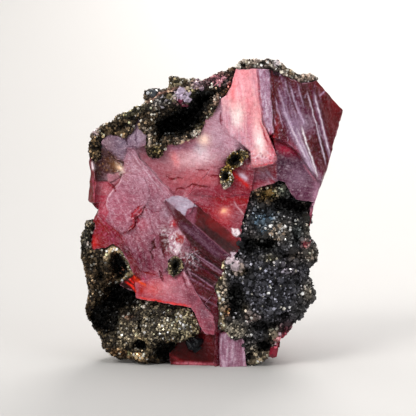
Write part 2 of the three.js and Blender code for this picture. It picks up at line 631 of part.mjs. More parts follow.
addPiece("calcite_crystal", crystal, 0xb8505c, 0.3, 0);
addPiece("right_crust", reliefSlab(RIGHT_CRUST), 0x2c3036, 0.5, 0.4);
addPiece("lower_left_crust", reliefSlab(LOWER_LEFT_CRUST).subtract(blackPocket), 0x6e6248, 0.4, 0.6);
addPiece("top_crust", topCrust(), 0x5a4c34, 0.5, 0.5);
addPiece("crown_crust", reliefSlab(CROWN_CRUST), 0x9a8c74, 0.5, 0.4);
for (const [name, pit] of pits) addPiece(name, pitDruse(pit), 0x6a5a30, 0.5, 0.5);
addPiece("black_crystal", blackCrystal, 0x14161a, 0.2, 0.3);

export default specimen;
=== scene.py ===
import math

import bmesh
import bpy
import numpy as np
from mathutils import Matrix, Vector
from mathutils.bvhtree import BVHTree
from mathutils.kdtree import KDTree


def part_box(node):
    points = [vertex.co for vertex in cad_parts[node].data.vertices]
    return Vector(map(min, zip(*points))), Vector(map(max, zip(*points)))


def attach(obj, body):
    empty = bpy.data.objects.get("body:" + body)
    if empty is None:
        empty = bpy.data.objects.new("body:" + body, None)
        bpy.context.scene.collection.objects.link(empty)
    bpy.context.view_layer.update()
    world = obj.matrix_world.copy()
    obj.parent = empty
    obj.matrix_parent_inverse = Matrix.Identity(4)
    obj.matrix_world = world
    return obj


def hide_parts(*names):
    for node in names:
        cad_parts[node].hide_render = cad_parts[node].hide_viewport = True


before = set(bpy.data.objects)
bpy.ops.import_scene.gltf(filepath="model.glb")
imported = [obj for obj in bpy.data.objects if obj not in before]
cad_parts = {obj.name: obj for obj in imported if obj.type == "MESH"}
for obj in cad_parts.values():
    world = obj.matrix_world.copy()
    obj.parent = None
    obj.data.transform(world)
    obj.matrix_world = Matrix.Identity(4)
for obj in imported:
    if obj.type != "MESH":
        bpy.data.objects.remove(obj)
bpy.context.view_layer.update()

MM = 0.001
bpy.context.scene.view_settings.view_transform = "Standard"

# ---------------------------------------------------------------- numbers and noise


class Noise:
    """Gradient noise in three dimensions, seeded. Takes points (n, 3), gives about -1 to 1."""

    def __init__(self, seed):
        rng = np.random.default_rng(seed)
        order = rng.permutation(256)
        self.order = np.concatenate([order, order])
        slopes = rng.normal(size=(256, 3))
        self.slopes = slopes / np.linalg.norm(slopes, axis=1)[:, None]

    def __call__(self, points):
        cell = np.floor(points).astype(np.int64)
        local = points - cell
        cell &= 255
        fade = local**3 * (local * (local * 6 - 15) + 10)
        total = np.zeros(len(points))
        for dx in (0, 1):
            wx = fade[:, 0] if dx else 1 - fade[:, 0]
            hx = self.order[(cell[:, 0] + dx) & 255]
            for dy in (0, 1):
                wy = fade[:, 1] if dy else 1 - fade[:, 1]
                hy = self.order[hx + ((cell[:, 1] + dy) & 255)]
                for dz in (0, 1):
                    wz = fade[:, 2] if dz else 1 - fade[:, 2]
                    slope = self.slopes[self.order[hy + ((cell[:, 2] + dz) & 255)]]
                    total += wx * wy * wz * ((local - (dx, dy, dz)) * slope).sum(1)
        return total * 1.7

    def layered(self, points, octaves=3, gain=0.5):
        """Noise of several sizes added up, each finer than the one before it, and weaker by gain."""
        total, size = np.zeros(len(points)), 1.0
        for level in range(octaves):
            total += size * self(points * 2.0**level + 17.3 * level)
            size *= gain
        return total


def ramp(low, high, t):
    """0 at low and 1 at high, smooth between them. low may be the larger of the two."""
    u = np.clip((t - low) / (high - low), 0, 1)
    return u * u * (3 - 2 * u)


def gauss(t):
    return np.exp(-t * t)


def blob(x, z, centre, radii, turn=0.0):
    """1 in the middle of a soft ellipse, fading to 0. turn is in degrees, anticlockwise."""
    (cx, cz), (rx, rz) = centre, radii
    c, s = math.cos(math.radians(turn)), math.sin(math.radians(turn))
    u, v = (x - cx) * c + (z - cz) * s, -(x - cx) * s + (z - cz) * c
    return np.exp(-((u / rx) ** 2) - (v / rz) ** 2)


def line_distance(x, z, points):
    """Distance to a polyline, and how far along it the nearest point is, 0 to 1."""
    best, along = np.full(len(x), 1e9), np.zeros(len(x))
    lengths = [math.dist(a, b) for a, b in zip(points, points[1:])]
    done, total = 0.0, sum(lengths)
    for (ax, az), (bx, bz), length in zip(points, points[1:], lengths):
        t = np.clip(((x - ax) * (bx - ax) + (z - az) * (bz - az)) / length**2, 0, 1)
        d = np.hypot(x - ax - t * (bx - ax), z - az - t * (bz - az))
        near = d < best
        best = np.where(near, d, best)
        along = np.where(near, (done + t * length) / total, along)
        done += length
    return best, along


def signed_distance(x, z, outline):
    """Distance to a closed outline, negative inside it."""
    d, _ = line_distance(x, z, [*outline, outline[0]])
    inside = np.zeros(len(x), bool)
    for (ax, az), (bx, bz) in zip(outline, [*outline[1:], outline[0]]):
        crosses = (az > z) != (bz > z)
        if az != bz:
            inside ^= crosses & (x < (bx - ax) * (z - az) / (bz - az) + ax)
    return np.where(inside, -d, d)


def within(x, z, outline, soft=0.4):
    """1 inside an outline and 0 outside it, with a soft border."""
    return ramp(soft, -soft, signed_distance(x, z, outline))


# ---------------------------------------------------------------- meshes

WELD = 2e-6  # metres
FLAT_ANGLE = 0.4  # degrees
TINY = 1e-12
# An edge is split when it is longer than this and than this share of its triangle's longest edge.
SHORTEST_SPLIT = 0.25
LONG_SHARE = 0.72


def arrays_and_free(bm):
    """The points and triangles of a bmesh, which is then freed."""
    bm.verts.index_update()
    points = np.array([v.co[:] for v in bm.verts])
    faces = np.array([[v.index for v in f.verts] for f in bm.faces])
    bm.free()
    return points, faces


def arrays_of(obj, weld=True):
    """A CAD object's points in millimetres and its triangles. weld rebuilds flat areas as few triangles."""
    bm = bmesh.new()
    bm.from_mesh(obj.data)
    bmesh.ops.remove_doubles(bm, verts=bm.verts[:], dist=WELD)
    if weld:
        flat = math.radians(FLAT_ANGLE)
        bmesh.ops.dissolve_limit(bm, angle_limit=flat, verts=bm.verts[:], edges=bm.edges[:])
    bmesh.ops.triangulate(bm, faces=bm.faces[:], quad_method="BEAUTY", ngon_method="BEAUTY")
    points, faces = arrays_and_free(bm)
    return points / MM, faces


def face_normals(points, faces):
    """Each triangle's normal, as long as twice its area."""
    a, b, c = points[faces[:, 0]], points[faces[:, 1]], points[faces[:, 2]]
    return np.cross(b - a, c - a)


def long_edges(points, faces, target):
    """The middles of the edges, each triangle's three edges, and which edges are too long."""
    normal = face_normals(points, faces)
    frontal = -normal[:, 1] / (np.linalg.norm(normal, axis=1) + TINY)
    pairs = np.sort(np.stack([faces, np.roll(faces, -1, axis=1)], axis=2).reshape(-1, 2), axis=1)
    edges, where = np.unique(pairs, axis=0, return_inverse=True)
    where = where.reshape(-1, 3)
    a, b = points[edges[:, 0]], points[edges[:, 1]]
    length = np.linalg.norm(a - b, axis=1)
    middle = (a + b) / 2
    longest = length[where].max(1)
    need, facing = np.zeros(len(edges)), np.full(len(edges), -1.0)
    normals = np.zeros((len(edges), 3))
    for k in range(3):
        np.add.at(normals, where[:, k], normal)
        np.maximum.at(need, where[:, k], (length[where[:, k]] > LONG_SHARE * longest).astype(float))
        np.maximum.at(facing, where[:, k], frontal)
    split = (need > 0) & (length > SHORTEST_SPLIT)
    split[split] = length[split] > target(middle[split], facing[split], normals[split])
    return middle, where, split


def triangles_of(*corners):
    return np.stack(corners, axis=1)


def divided(points, faces, mids):
    """The triangles with their edges split. mids has the new point on each of their edges, or -1."""
    count = (mids >= 0).sum(1)
    made = [faces[count == 0]]
    f, m = faces[count == 3], mids[count == 3]
    made += [triangles_of(f[:, 0], m[:, 0], m[:, 2]), triangles_of(m[:, 0], f[:, 1], m[:, 1]),
             triangles_of(m[:, 2], m[:, 1], f[:, 2]), triangles_of(m[:, 0], m[:, 1], m[:, 2])]
    f, m = faces[count == 1], mids[count == 1]
    turn = np.argmax(m >= 0, axis=1)
    f = np.take_along_axis(f, (turn[:, None] + np.arange(3)) % 3, axis=1)
    m = m[np.arange(len(m)), turn]
    made += [triangles_of(f[:, 0], m, f[:, 2]), triangles_of(m, f[:, 1], f[:, 2])]
    f, m = faces[count == 2], mids[count == 2]
    turn = (np.argmin(m >= 0, axis=1) + 1) % 3
    order = (turn[:, None] + np.arange(3)) % 3
    f, m = np.take_along_axis(f, order, axis=1), np.take_along_axis(m, order, axis=1)
    made.append(triangles_of(m[:, 0], f[:, 1], m[:, 1]))
    d0 = np.linalg.norm(points[f[:, 0]] - points[m[:, 1]], axis=1)
    d1 = np.linalg.norm(points[m[:, 0]] - points[f[:, 2]], axis=1)
    first = (d0 < d1)[:, None]
    made.append(np.where(first, triangles_of(f[:, 0], m[:, 0], m[:, 1]),
                         triangles_of(f[:, 0], m[:, 0], f[:, 2])))
    made.append(np.where(first, triangles_of(f[:, 0], m[:, 1], f[:, 2]),
                         triangles_of(m[:, 0], m[:, 1], f[:, 2])))
    return np.concatenate(made)


def refine(points, faces, target, rounds=60):
    """Splits edges until each is shorter than target(middles, facing, normals), where facing is 1 on a face
    that looks to the front. The mesh stays closed."""
    for _ in range(rounds):
        middle, where, split = long_edges(points, faces, target)
        if not split.any():
            break
        ids = np.full(len(split), -1)
        ids[split] = len(points) + np.arange(split.sum())
        points = np.concatenate([points, middle[split]])
        faces = divided(points, faces, ids[where])
    return points, faces


def vertex_normals(points, faces):
    normal = face_normals(points, faces)
    total = np.zeros_like(points)
    for k in range(3):
        np.add.at(total, faces[:, k], normal)
    return total / np.maximum(np.linalg.norm(total, axis=1)[:, None], TINY)


def mesh_object(name, points, faces, attributes=None, smooth_angle=None):
    """A mesh object from points in millimetres. attributes: name to (n,) or (n, 3) values on the points."""
    mesh = bpy.data.meshes.new(name)
    mesh.vertices.add(len(points))
    mesh.vertices.foreach_set("co", (points * MM).astype(np.float32).ravel())
    mesh.loops.add(len(faces) * 3)
    mesh.loops.foreach_set("vertex_index", faces.astype(np.int32).ravel())
    mesh.polygons.add(len(faces))
    mesh.polygons.foreach_set("loop_start", np.arange(0, len(faces) * 3, 3, dtype=np.int32))
    mesh.update(calc_edges=True)
    mesh.validate()
    for key, values in (attributes or {}).items():
        values = np.asarray(values, dtype=np.float32)
        if values.ndim == 2:
            layer = mesh.attributes.new(key, "FLOAT_COLOR", "POINT")
            opaque = np.concatenate([values, np.ones((len(values), 1))], axis=1)
            layer.data.foreach_set("color", opaque.astype(np.float32).ravel())
        else:
            layer = mesh.attributes.new(key, "FLOAT", "POINT")
            layer.data.foreach_set("value", values)
    if smooth_angle is not None:
        mesh.polygons.foreach_set("use_smooth", np.ones(len(mesh.polygons), bool))
        mesh.set_sharp_from_angle(angle=math.radians(smooth_angle))
    obj = bpy.data.objects.new(name, mesh)
    bpy.context.scene.collection.objects.link(obj)
    return obj


# ---------------------------------------------------------------- materials


def new_material(name):
    material = bpy.data.materials.new(name)
    material.use_nodes = True
    tree = material.node_tree
    tree.nodes.clear()
    output = tree.nodes.new("ShaderNodeOutputMaterial")
    shader = tree.nodes.new("ShaderNodeBsdfPrincipled")
    tree.links.new(shader.outputs[0], output.inputs["Surface"])
    return material, tree, shader, output


def attribute(tree, name, kind="Fac"):
    node = tree.nodes.new("ShaderNodeAttribute")
    node.attribute_name = name
    return node.outputs[kind]


def noise_node(tree, scale, detail, roughness, place=None):
    """Noise at a place, which is the point on the object if none is given."""
    texture = tree.nodes.new("ShaderNodeTexNoise")
    texture.inputs["Scale"].default_value = scale
    texture.inputs["Detail"].default_value = detail
    texture.inputs["Roughness"].default_value = roughness
    if place is None:
        place = tree.nodes.new("ShaderNodeTexCoord").outputs["Object"]
    tree.links.new(place, texture.inputs["Vector"])
    return texture.outputs["Fac"]


def maths(tree, operation, *values, clamp=False):
    node = tree.nodes.new("ShaderNodeMath")
    node.operation = operation
    node.use_clamp = clamp
    for socket, value in zip(node.inputs, values):
        if hasattr(value, "links"):
            tree.links.new(value, socket)
        else:
            socket.default_value = value
    return node.outputs[0]


def times(tree, first, second, clamp=False):
    return maths(tree, "MULTIPLY", first, second, clamp=clamp)


def plus(tree, first, second, clamp=False):
    return maths(tree, "ADD", first, second, clamp=clamp)


def mapped(tree, value, low, high, to_low=0.0, to_high=1.0):
    node = tree.nodes.new("ShaderNodeMapRange")
    node.inputs["From Min"].default_value = low
    node.inputs["From Max"].default_value = high
    node.inputs["To Min"].default_value = to_low
    node.inputs["To Max"].default_value = to_high
    tree.links.new(value, node.inputs["Value"])
    return node.outputs[0]


def mixed(tree, factor, first, second, blend="MIX"):
    node = tree.nodes.new("ShaderNodeMix")
    node.data_type = "RGBA"
    node.blend_type = blend
    sockets = {s.identifier: s for s in node.inputs}
    for key, value in (("Factor_Float", factor), ("A_Color", first), ("B_Color", second)):
        if hasattr(value, "links"):
            tree.links.new(value, sockets[key])
        elif key == "Factor_Float":
            sockets[key].default_value = value
        else:
            sockets[key].default_value = (*value, 1)
    return {s.identifier: s for s in node.outputs}["Result_Color"]


def bumped(tree, shader, height, distance):
    """Gives a shader fine relief of a depth in metres."""
    bump = tree.nodes.new("ShaderNodeBump")
    bump.inputs["Distance"].default_value = distance
    bump.inputs["Strength"].default_value = 0.6
    tree.links.new(height, bump.inputs["Height"])
    tree.links.new(bump.outputs[0], shader.inputs["Normal"])


def srgb(r, g, b):
    """Linear colour from 0-255 display values."""
    return np.array([((c / 255 + 0.055) / 1.055) ** 2.4 if c > 10 else c / 255 / 12.92 for c in (r, g, b)])


# ---------------------------------------------------------------- camera, floor and light

# The camera looks along +Y from a little above, with a long lens. FOCUS is in the middle of its view.
LENS = 100.0
SENSOR = 36.0
ELEVATION = 4.5
FRAME_WIDTH = 108.5 * MM
FOCUS = Vector((-1.17, -15.0, 41.4)) * MM

# From here to the lights, lengths are in metres. The floor is flat as far as FLAT_RADIUS.
FLAT_RADIUS = 0.18
FLOOR_SIDES = 72
FLOOR_COLOUR = (0.44, 0.435, 0.425, 1)
SKY_COLOUR = (0.9, 0.95, 1, 1)
SKY_STRENGTH = 0.22

# Name, place, width and height, watts and colour of each light. They all face LIT_POINT.
LIT_POINT = Vector((0, 0, 0.04))
LIGHTS = (
    ("key", (-0.42, -0.42, 0.52), (0.34, 0.34), 4.7, (1, 0.97, 0.94)),
    ("fill", (0.52, -0.36, 0.26), (0.4, 0.5), 1.7, (0.94, 0.97, 1)),
    ("back", (0.16, 0.6, 0.42), (0.4, 0.4), 5, (1, 0.95, 0.92)),
    ("top", (0.0, 0.05, 0.8), (0.7, 0.7), 4.5, (1, 1, 1)),
)


def add_aimed(name, data, at, toward):
    """Adds a camera or a light that looks along toward."""
    obj = bpy.data.objects.new(name, data)
    obj.location = at
    obj.rotation_mode = "QUATERNION"
    obj.rotation_quaternion = toward.to_track_quat("-Z", "Y")
    bpy.context.scene.collection.objects.link(obj)
    return obj


def make_camera():
    data = bpy.data.cameras.new("camera")
    data.lens = LENS
    data.sensor_width = SENSOR
    data.clip_start = 0.01
    data.clip_end = 10
    up = math.radians(ELEVATION)
    back = Vector((0, -math.cos(up), math.sin(up)))
    distance = FRAME_WIDTH * LENS / SENSOR
    bpy.context.scene.camera = add_aimed("camera", data, FOCUS + back * distance, -back)


def make_floor():
    """A pale floor that curves up into a wall all round, far outside every camera."""
    profile = [(0.0, 0.0), (0.1, 0.0), (FLAT_RADIUS, 0.0)]
    profile += [(r, (r - FLAT_RADIUS) ** 2 / 1.1) for r in np.linspace(0.24, 0.95, 22)]
    profile += [(1.1, 0.85), (1.2, 1.2), (1.25, 1.7)]
    points, faces = [(0, 0, 0)], []
    for r, h in profile[1:]:
        points += [(r * math.cos(t) / MM, r * math.sin(t) / MM, h / MM)
                   for t in np.linspace(0, 2 * math.pi, FLOOR_SIDES, endpoint=False)]
    for k in range(FLOOR_SIDES):
        n = (k + 1) % FLOOR_SIDES
        faces.append((0, 1 + k, 1 + n))
        for level in range(len(profile) - 2):
            a, b = 1 + level * FLOOR_SIDES, 1 + (level + 1) * FLOOR_SIDES
            faces += [(a + k, b + k, b + n), (a + k, b + n, a + n)]
    floor = mesh_object("studio_floor", np.array(points, float), np.array(faces), smooth_angle=80)
    material, _, shader, _ = new_material("floor")
    shader.inputs["Base Color"].default_value = FLOOR_COLOUR
    shader.inputs["Roughness"].default_value = 0.7
    shader.inputs["Specular IOR Level"].default_value = 0.2
    floor.data.materials.append(material)


def make_light():
    for name, at, size, watts, colour in LIGHTS:
        data = bpy.data.lights.new(name, "AREA")
        data.shape = "RECTANGLE"
        data.size, data.size_y = size
        data.energy = watts
        data.color = colour
        add_aimed(name, data, at, LIT_POINT - Vector(at))
    world = bpy.data.worlds.new("studio")
    world.use_nodes = True
    background = world.node_tree.nodes["Background"]
    background.inputs["Color"].default_value = SKY_COLOUR
    background.inputs["Strength"].default_value = SKY_STRENGTH
    bpy.context.scene.world = world


make_camera()
make_floor()
make_light()

# ---------------------------------------------------------------- the crystal

# Lengths along y that part the front from the back. All of the front lies before FRONT_ENDS, and only the
# back lies behind BACK_STARTS. What fades from one to the other is whole before FRONT_FULL.
FRONT_FULL = -11
FRONT_ENDS = -9
BACK_STARTS = -7

# How long a mesh edge may be: on a feature of the front, elsewhere on it, on the sides, at the edges of the
# steps behind, and elsewhere behind.
FEATURE_LENGTH = 0.3
FRONT_LENGTH = 0.56
SIDE_LENGTH = 1.1
STEP_LENGTH = 0.55
BACK_LENGTH = 2.1

# How far the finer mesh reaches to each side of an outline, and past the half width of a streak or a crack.
AROUND_OUTLINE = 0.45
AROUND_PATH = 0.3

# The map of the front plane that says where its features are: the side of a cell, the map's lower left
# corner, and its number of cells.
MAP_CELL = 0.2
MAP_CORNER = (-36.0, -2.0)
MAP_SHAPE = (365, 420)

# Outlines are drawn on the front plane, in millimetres: x to the right, z up.

FIELD_FOOT = [(28.2, 48.2), (27.1, 48.7), (24.6, 52.2), (22.3, 55.6), (20, 57.6), (18, 58.9), (15.7, 59.6),
              (15, 70)]
RIGHT_FIELD = [(14.6, 79.4), (20, 77.2), (26.6, 76), (35.2, 66.9), (30.6, 54), *FIELD_FOOT]
STREAKED_FIELD = [(14.8, 77.5), (20, 77.6), (26, 76), (27.4, 72), (29.4, 64.5), (31.6, 57.6), (30.2, 53),
                  *FIELD_FOOT]
BRIGHT_BLOCK = [(2.2, 69.8), (4.6, 73), (4.9, 75), (6, 78.6), (11.4, 79.4), (12.4, 68), (12.9, 63.5),
                (14.7, 60),
                (16.6, 55), (16.7, 54), (16, 53.2), (13.8, 52.4), (12, 52), (10.6, 51.9), (10, 53), (9.9, 56),
                (8.4, 57.4), (4.4, 60.4), (3, 63.4), (2.4, 66.5)]
FROSTED_STRIP = [(11.2, 79.4), (14.6, 79.2), (15.1, 70), (15.9, 61), (14.8, 60.4), (13, 63.4), (12.3, 68)]
LEFT_FIELD = [(-22.2, 56.8), (-20, 56.3), (-18.9, 54), (-17, 52.2), (-15, 49.9), (-13, 47.6), (-11.4, 46.5),
              (-10, 44.8), (-11.6, 43.6), (-8, 36), (-5.5, 31), (-6.5, 28.5), (-8, 25), (-13, 23.4),
              (-17, 22.6),
              (-21.5, 30.6), (-23.3, 34.4), (-27, 37), (-29.7, 39.6), (-29.6, 43), (-27, 45), (-24.6, 47),
              (-23.2, 50), (-22.9, 54)]
RIDGE_LOWER = [(-5.2, 31.6), (3.8, 26.2), (3.6, 22.8), (1.2, 22), (0.7, 20), (2, 16), (-1.5, 15.6),
               (-4, 19.5),
               (-5.8, 23), (-7.4, 25.8), (-6.2, 28.8)]
RED_SHOULDER = [(-30.4, 39.4), (-24.3, 34.9), (-22, 31), (-18.6, 24.6), (-16.4, 21.6), (-20.4, 23),
                (-22.4, 26.6),
                (-24, 30.5), (-26, 31.8), (-28, 30.6), (-33.5, 30), (-33, 34.4), (-32, 38)]
FOOT_BLOCK = [(1.9, -1), (1.8, 8.6), (4, 9.4), (8.2, 9), (9.1, -1)]
RHOMB = [(-8.75, 36.4), (-7.0, 34.2), (-8.7, 29.3), (-11.5, 33.8)]

RIDGE_TOP = [(-6.2, 42.6), (-4.5, 42.7), (1.2, 38), (7, 33.2), (7.4, 31.4), (4.9, 28.9), (-7.3, 39.5)]
RIDGE_CAP = [(-12.4, 43.9), (-9.6, 44.8), (-6.9, 44.4), (-5, 42.9), (-4.0, 41.8), (-6.2, 41.6), (-7.1, 39.6),
             (-9.8, 41.8)]
RIDGE_BEVEL = [(-12.7, 43.4), (-12.2, 44), (-7.2, 39.6), (4.9, 29), (3.6, 26), (-5, 31.4), (-8.6, 36)]

# Ledges that fade out: a polyline and how far to each side the step is evened out, in how many rounds.
EASE_ROUNDS = 60
SOFT_EDGES = [
    ([(-28.8, 40), (-27.7, 43.5), (-27, 45), (-25.3, 46.2), (-23.5, 48.2), (-22.4, 50.6), (-18, 49.6),
      (-16, 45),
      (-17.4, 42.4)], 2.2),
    ([(-20.2, 22.4), (-16, 22.8), (-13, 23.8), (-10, 24.2), (-7.5, 25.8)], 1.8),
    ([(-30, 39.2), (-24.3, 34.9), (-22, 31), (-18.6, 24.6), (-16.4, 21.6)], 1.6),
    ([(-22.5, 60.6), (-22, 57), (-22.8, 53.4), (-23, 50)], 1.6),
    ([(-20.2, 65), (-19.8, 60), (-19.8, 57)], 1.4),
    ([(-15.8, 66), (-17.8, 62.8), (-16.4, 58), (-19.8, 56.8)], 1.4),
    ([(-5.5, 34), (-6.5, 28.5), (-8, 25)], 1.4),
    ([(2.4, 66.5), (3, 63.4), (4.4, 60.4), (8.4, 57.4), (9.9, 56), (10, 53)], 2.2),
    ([(-6, 45), (0, 44.4), (10.2, 44.8)], 1.8),
    ([(0, 44.4), (0, 52), (5.5, 52.4), (11, 51.6)], 2.4),
    ([(16.8, 54.3), (17, 47.6), (17.5, 50.2)], 1.2),
    ([(-31.4, 48), (-27, 48), (-25.4, 46.4), (-27.2, 44.6)], 1.0),
]

# Regions: outline, display colour, how frosted, how clear, softness of the border.
REGIONS = [
    # the field in the middle, from the crust at the top down to the ridge
    ([(-21, 56), (-16.5, 67), (3, 76), (6, 60), (11, 52), (10, 45), (9, 30), (-4, 36), (-13, 44)],
     (166, 92, 104), 0.4, 0.35, 0.5),
    # upper left, lilac grey
    ([(-31, 60), (-27, 62), (-22.5, 61), (-20, 66), (-15.5, 66.5), (-17.8, 62.8), (-16.2, 58), (-19.8, 56.8),
      (-22, 57), (-22.8, 53.4), (-25, 54.2), (-28.5, 56)], (126, 104, 120), 0.55, 0.25, 0.4),
    # amber window on the left
    ([(-31.4, 56), (-27, 56.5), (-23, 53.2), (-22.8, 50), (-27, 47.8), (-31.4, 47.8)],
     (82, 54, 50), 0.2, 0.55, 0.5),
    # the rib at the left edge
    ([(-33.5, 54.4), (-31.1, 53.8), (-30.3, 48), (-30.6, 42.4), (-33.5, 42.4)], (108, 18, 28), 0.1, 0.6,
     0.25),
    # red window under the amber one
    ([(-30.6, 48.4), (-27, 48.1), (-25.4, 46.4), (-27.2, 44.6), (-27.8, 42.4), (-31, 42.4)],
     (150, 66, 76), 0.3, 0.35, 0.25),
    (LEFT_FIELD, (160, 104, 120), 0.75, 0.12, 0.5),
    (RED_SHOULDER, (132, 34, 50), 0.3, 0.3, 0.35),
    # ember chip
    ([(-26, 21), (-20.2, 24.6), (-19.2, 21), (-19.4, 17), (-25, 19.8)], (64, 3, 1), 0.0, 0.1, 0.3),
    # salmon wedge over the druse
    ([(-20.2, 22.4), (-16, 22.8), (-13, 23.8), (-10, 24.2), (-7.5, 25.8), (-5.8, 23), (-4, 19.5), (-1.5, 16),
      (0.3, 13.5), (0.7, 10.5), (0.4, 8.2), (-2, 8.6), (-3.6, 11), (-5, 14.2), (-5.7, 15.4), (-10.5, 16),
      (-15, 16.8), (-20, 17.6)], (168, 90, 104), 0.5, 0.25, 0.3),
    # the ridge: clear upper facet, lower bevel, then stepped and striped
    (RIDGE_TOP, (74, 12, 18), 0.02, 0.1, 0.12),
    ([(-2.8, 40.6), (1.2, 37.6), (7.2, 32.8), (7.0, 31.0), (3.4, 33.4), (-1.8, 37.4)], (100, 10, 18), 0.0,
     0.1, 0.5),
    (RIDGE_BEVEL, (86, 42, 46), 0.1, 0.15, 0.1),
    # across the bevel: a faint lilac band along its middle, deep brown below it
    ([(-7.6, 35.6), (-5.2, 32.2), (3.6, 26.2), (4.2, 27.4), (-1.8, 31.8), (-5.4, 35.4)], (74, 28, 32), 0.1,
     0.15, 0.4),
    ([(-5.4, 36.6), (-4.0, 35.2), (1.6, 30.6), (4.6, 27.8), (4.8, 29.2), (-1.2, 34.2), (-5.2, 37.8)],
     (96, 60, 74), 0.25, 0.15, 0.6),
    (RIDGE_LOWER, (88, 26, 38), 0.1, 0.2, 0.15),
    (RIDGE_CAP, (170, 158, 174), 0.3, 0.1, 0.06),
    ([(-7.0, 39.6), (-6.4, 41.5), (-4.2, 41.9), (-3.4, 38.4), (-5.0, 37.6)], (128, 72, 86), 0.2, 0.15, 0.35),
    ([(-4.4, 37.6), (-4.2, 41.8), (-2.6, 40.6), (-2.2, 36.4)], (92, 20, 26), 0.05, 0.15, 0.5),
    # ruby hollow behind the ridge
    ([(-4.7, 42.9), (0, 44.6), (10.2, 44.8), (9, 40.5), (8.2, 36), (6.9, 33.2), (1.2, 38)],
     (142, 44, 52), 0.25, 0.4, 0.35),
    # rose field to the left of the black crust
    ([(2.5, 51.5), (5.5, 52.4), (11, 51.6), (16.5, 53.1), (17.5, 50.2), (19, 48.4), (16, 45), (9.6, 44.2),
      (0, 44.4)], (142, 60, 68), 0.3, 0.4, 0.5),
    (BRIGHT_BLOCK, (228, 146, 152), 0.45, 0.15, 0.25),
    (FROSTED_STRIP, (162, 130, 154), 0.8, 0.12, 0.2),
    (RIGHT_FIELD, (96, 30, 42), 0.2, 0.4, 0.15),
    # clear field under the right one
    ([(15.7, 59.7), (18, 59), (20, 57.7), (22.3, 55.7), (24.6, 52.3), (27, 48.9), (29, 49.2), (27.6, 41),
      (20, 42), (17, 47.6), (16.4, 53), (16.8, 54.3)], (104, 62, 80), 0.35, 0.35, 0.2),
    # the foot: dark red slab, strip and frosted block
    ([(-11.6, -1), (-11.4, 3), (-9, 6.8), (-3.4, 9), (-2, 9.2), (0.4, 8.6), (1.2, 9), (1.9, 8), (1.9, -1)],
     (84, 8, 12), 0.02, 0.1, 0.25),
    ([(0.3, -1), (1.9, -1), (2.4, 16), (0.9, 20.4), (-0.6, 17), (0.4, 13.4), (0.7, 10.4)],
     (112, 48, 58), 0.3, 0.4, 0.25),
    (FOOT_BLOCK, (160, 120, 142), 0.7, 0.15, 0.25),
]

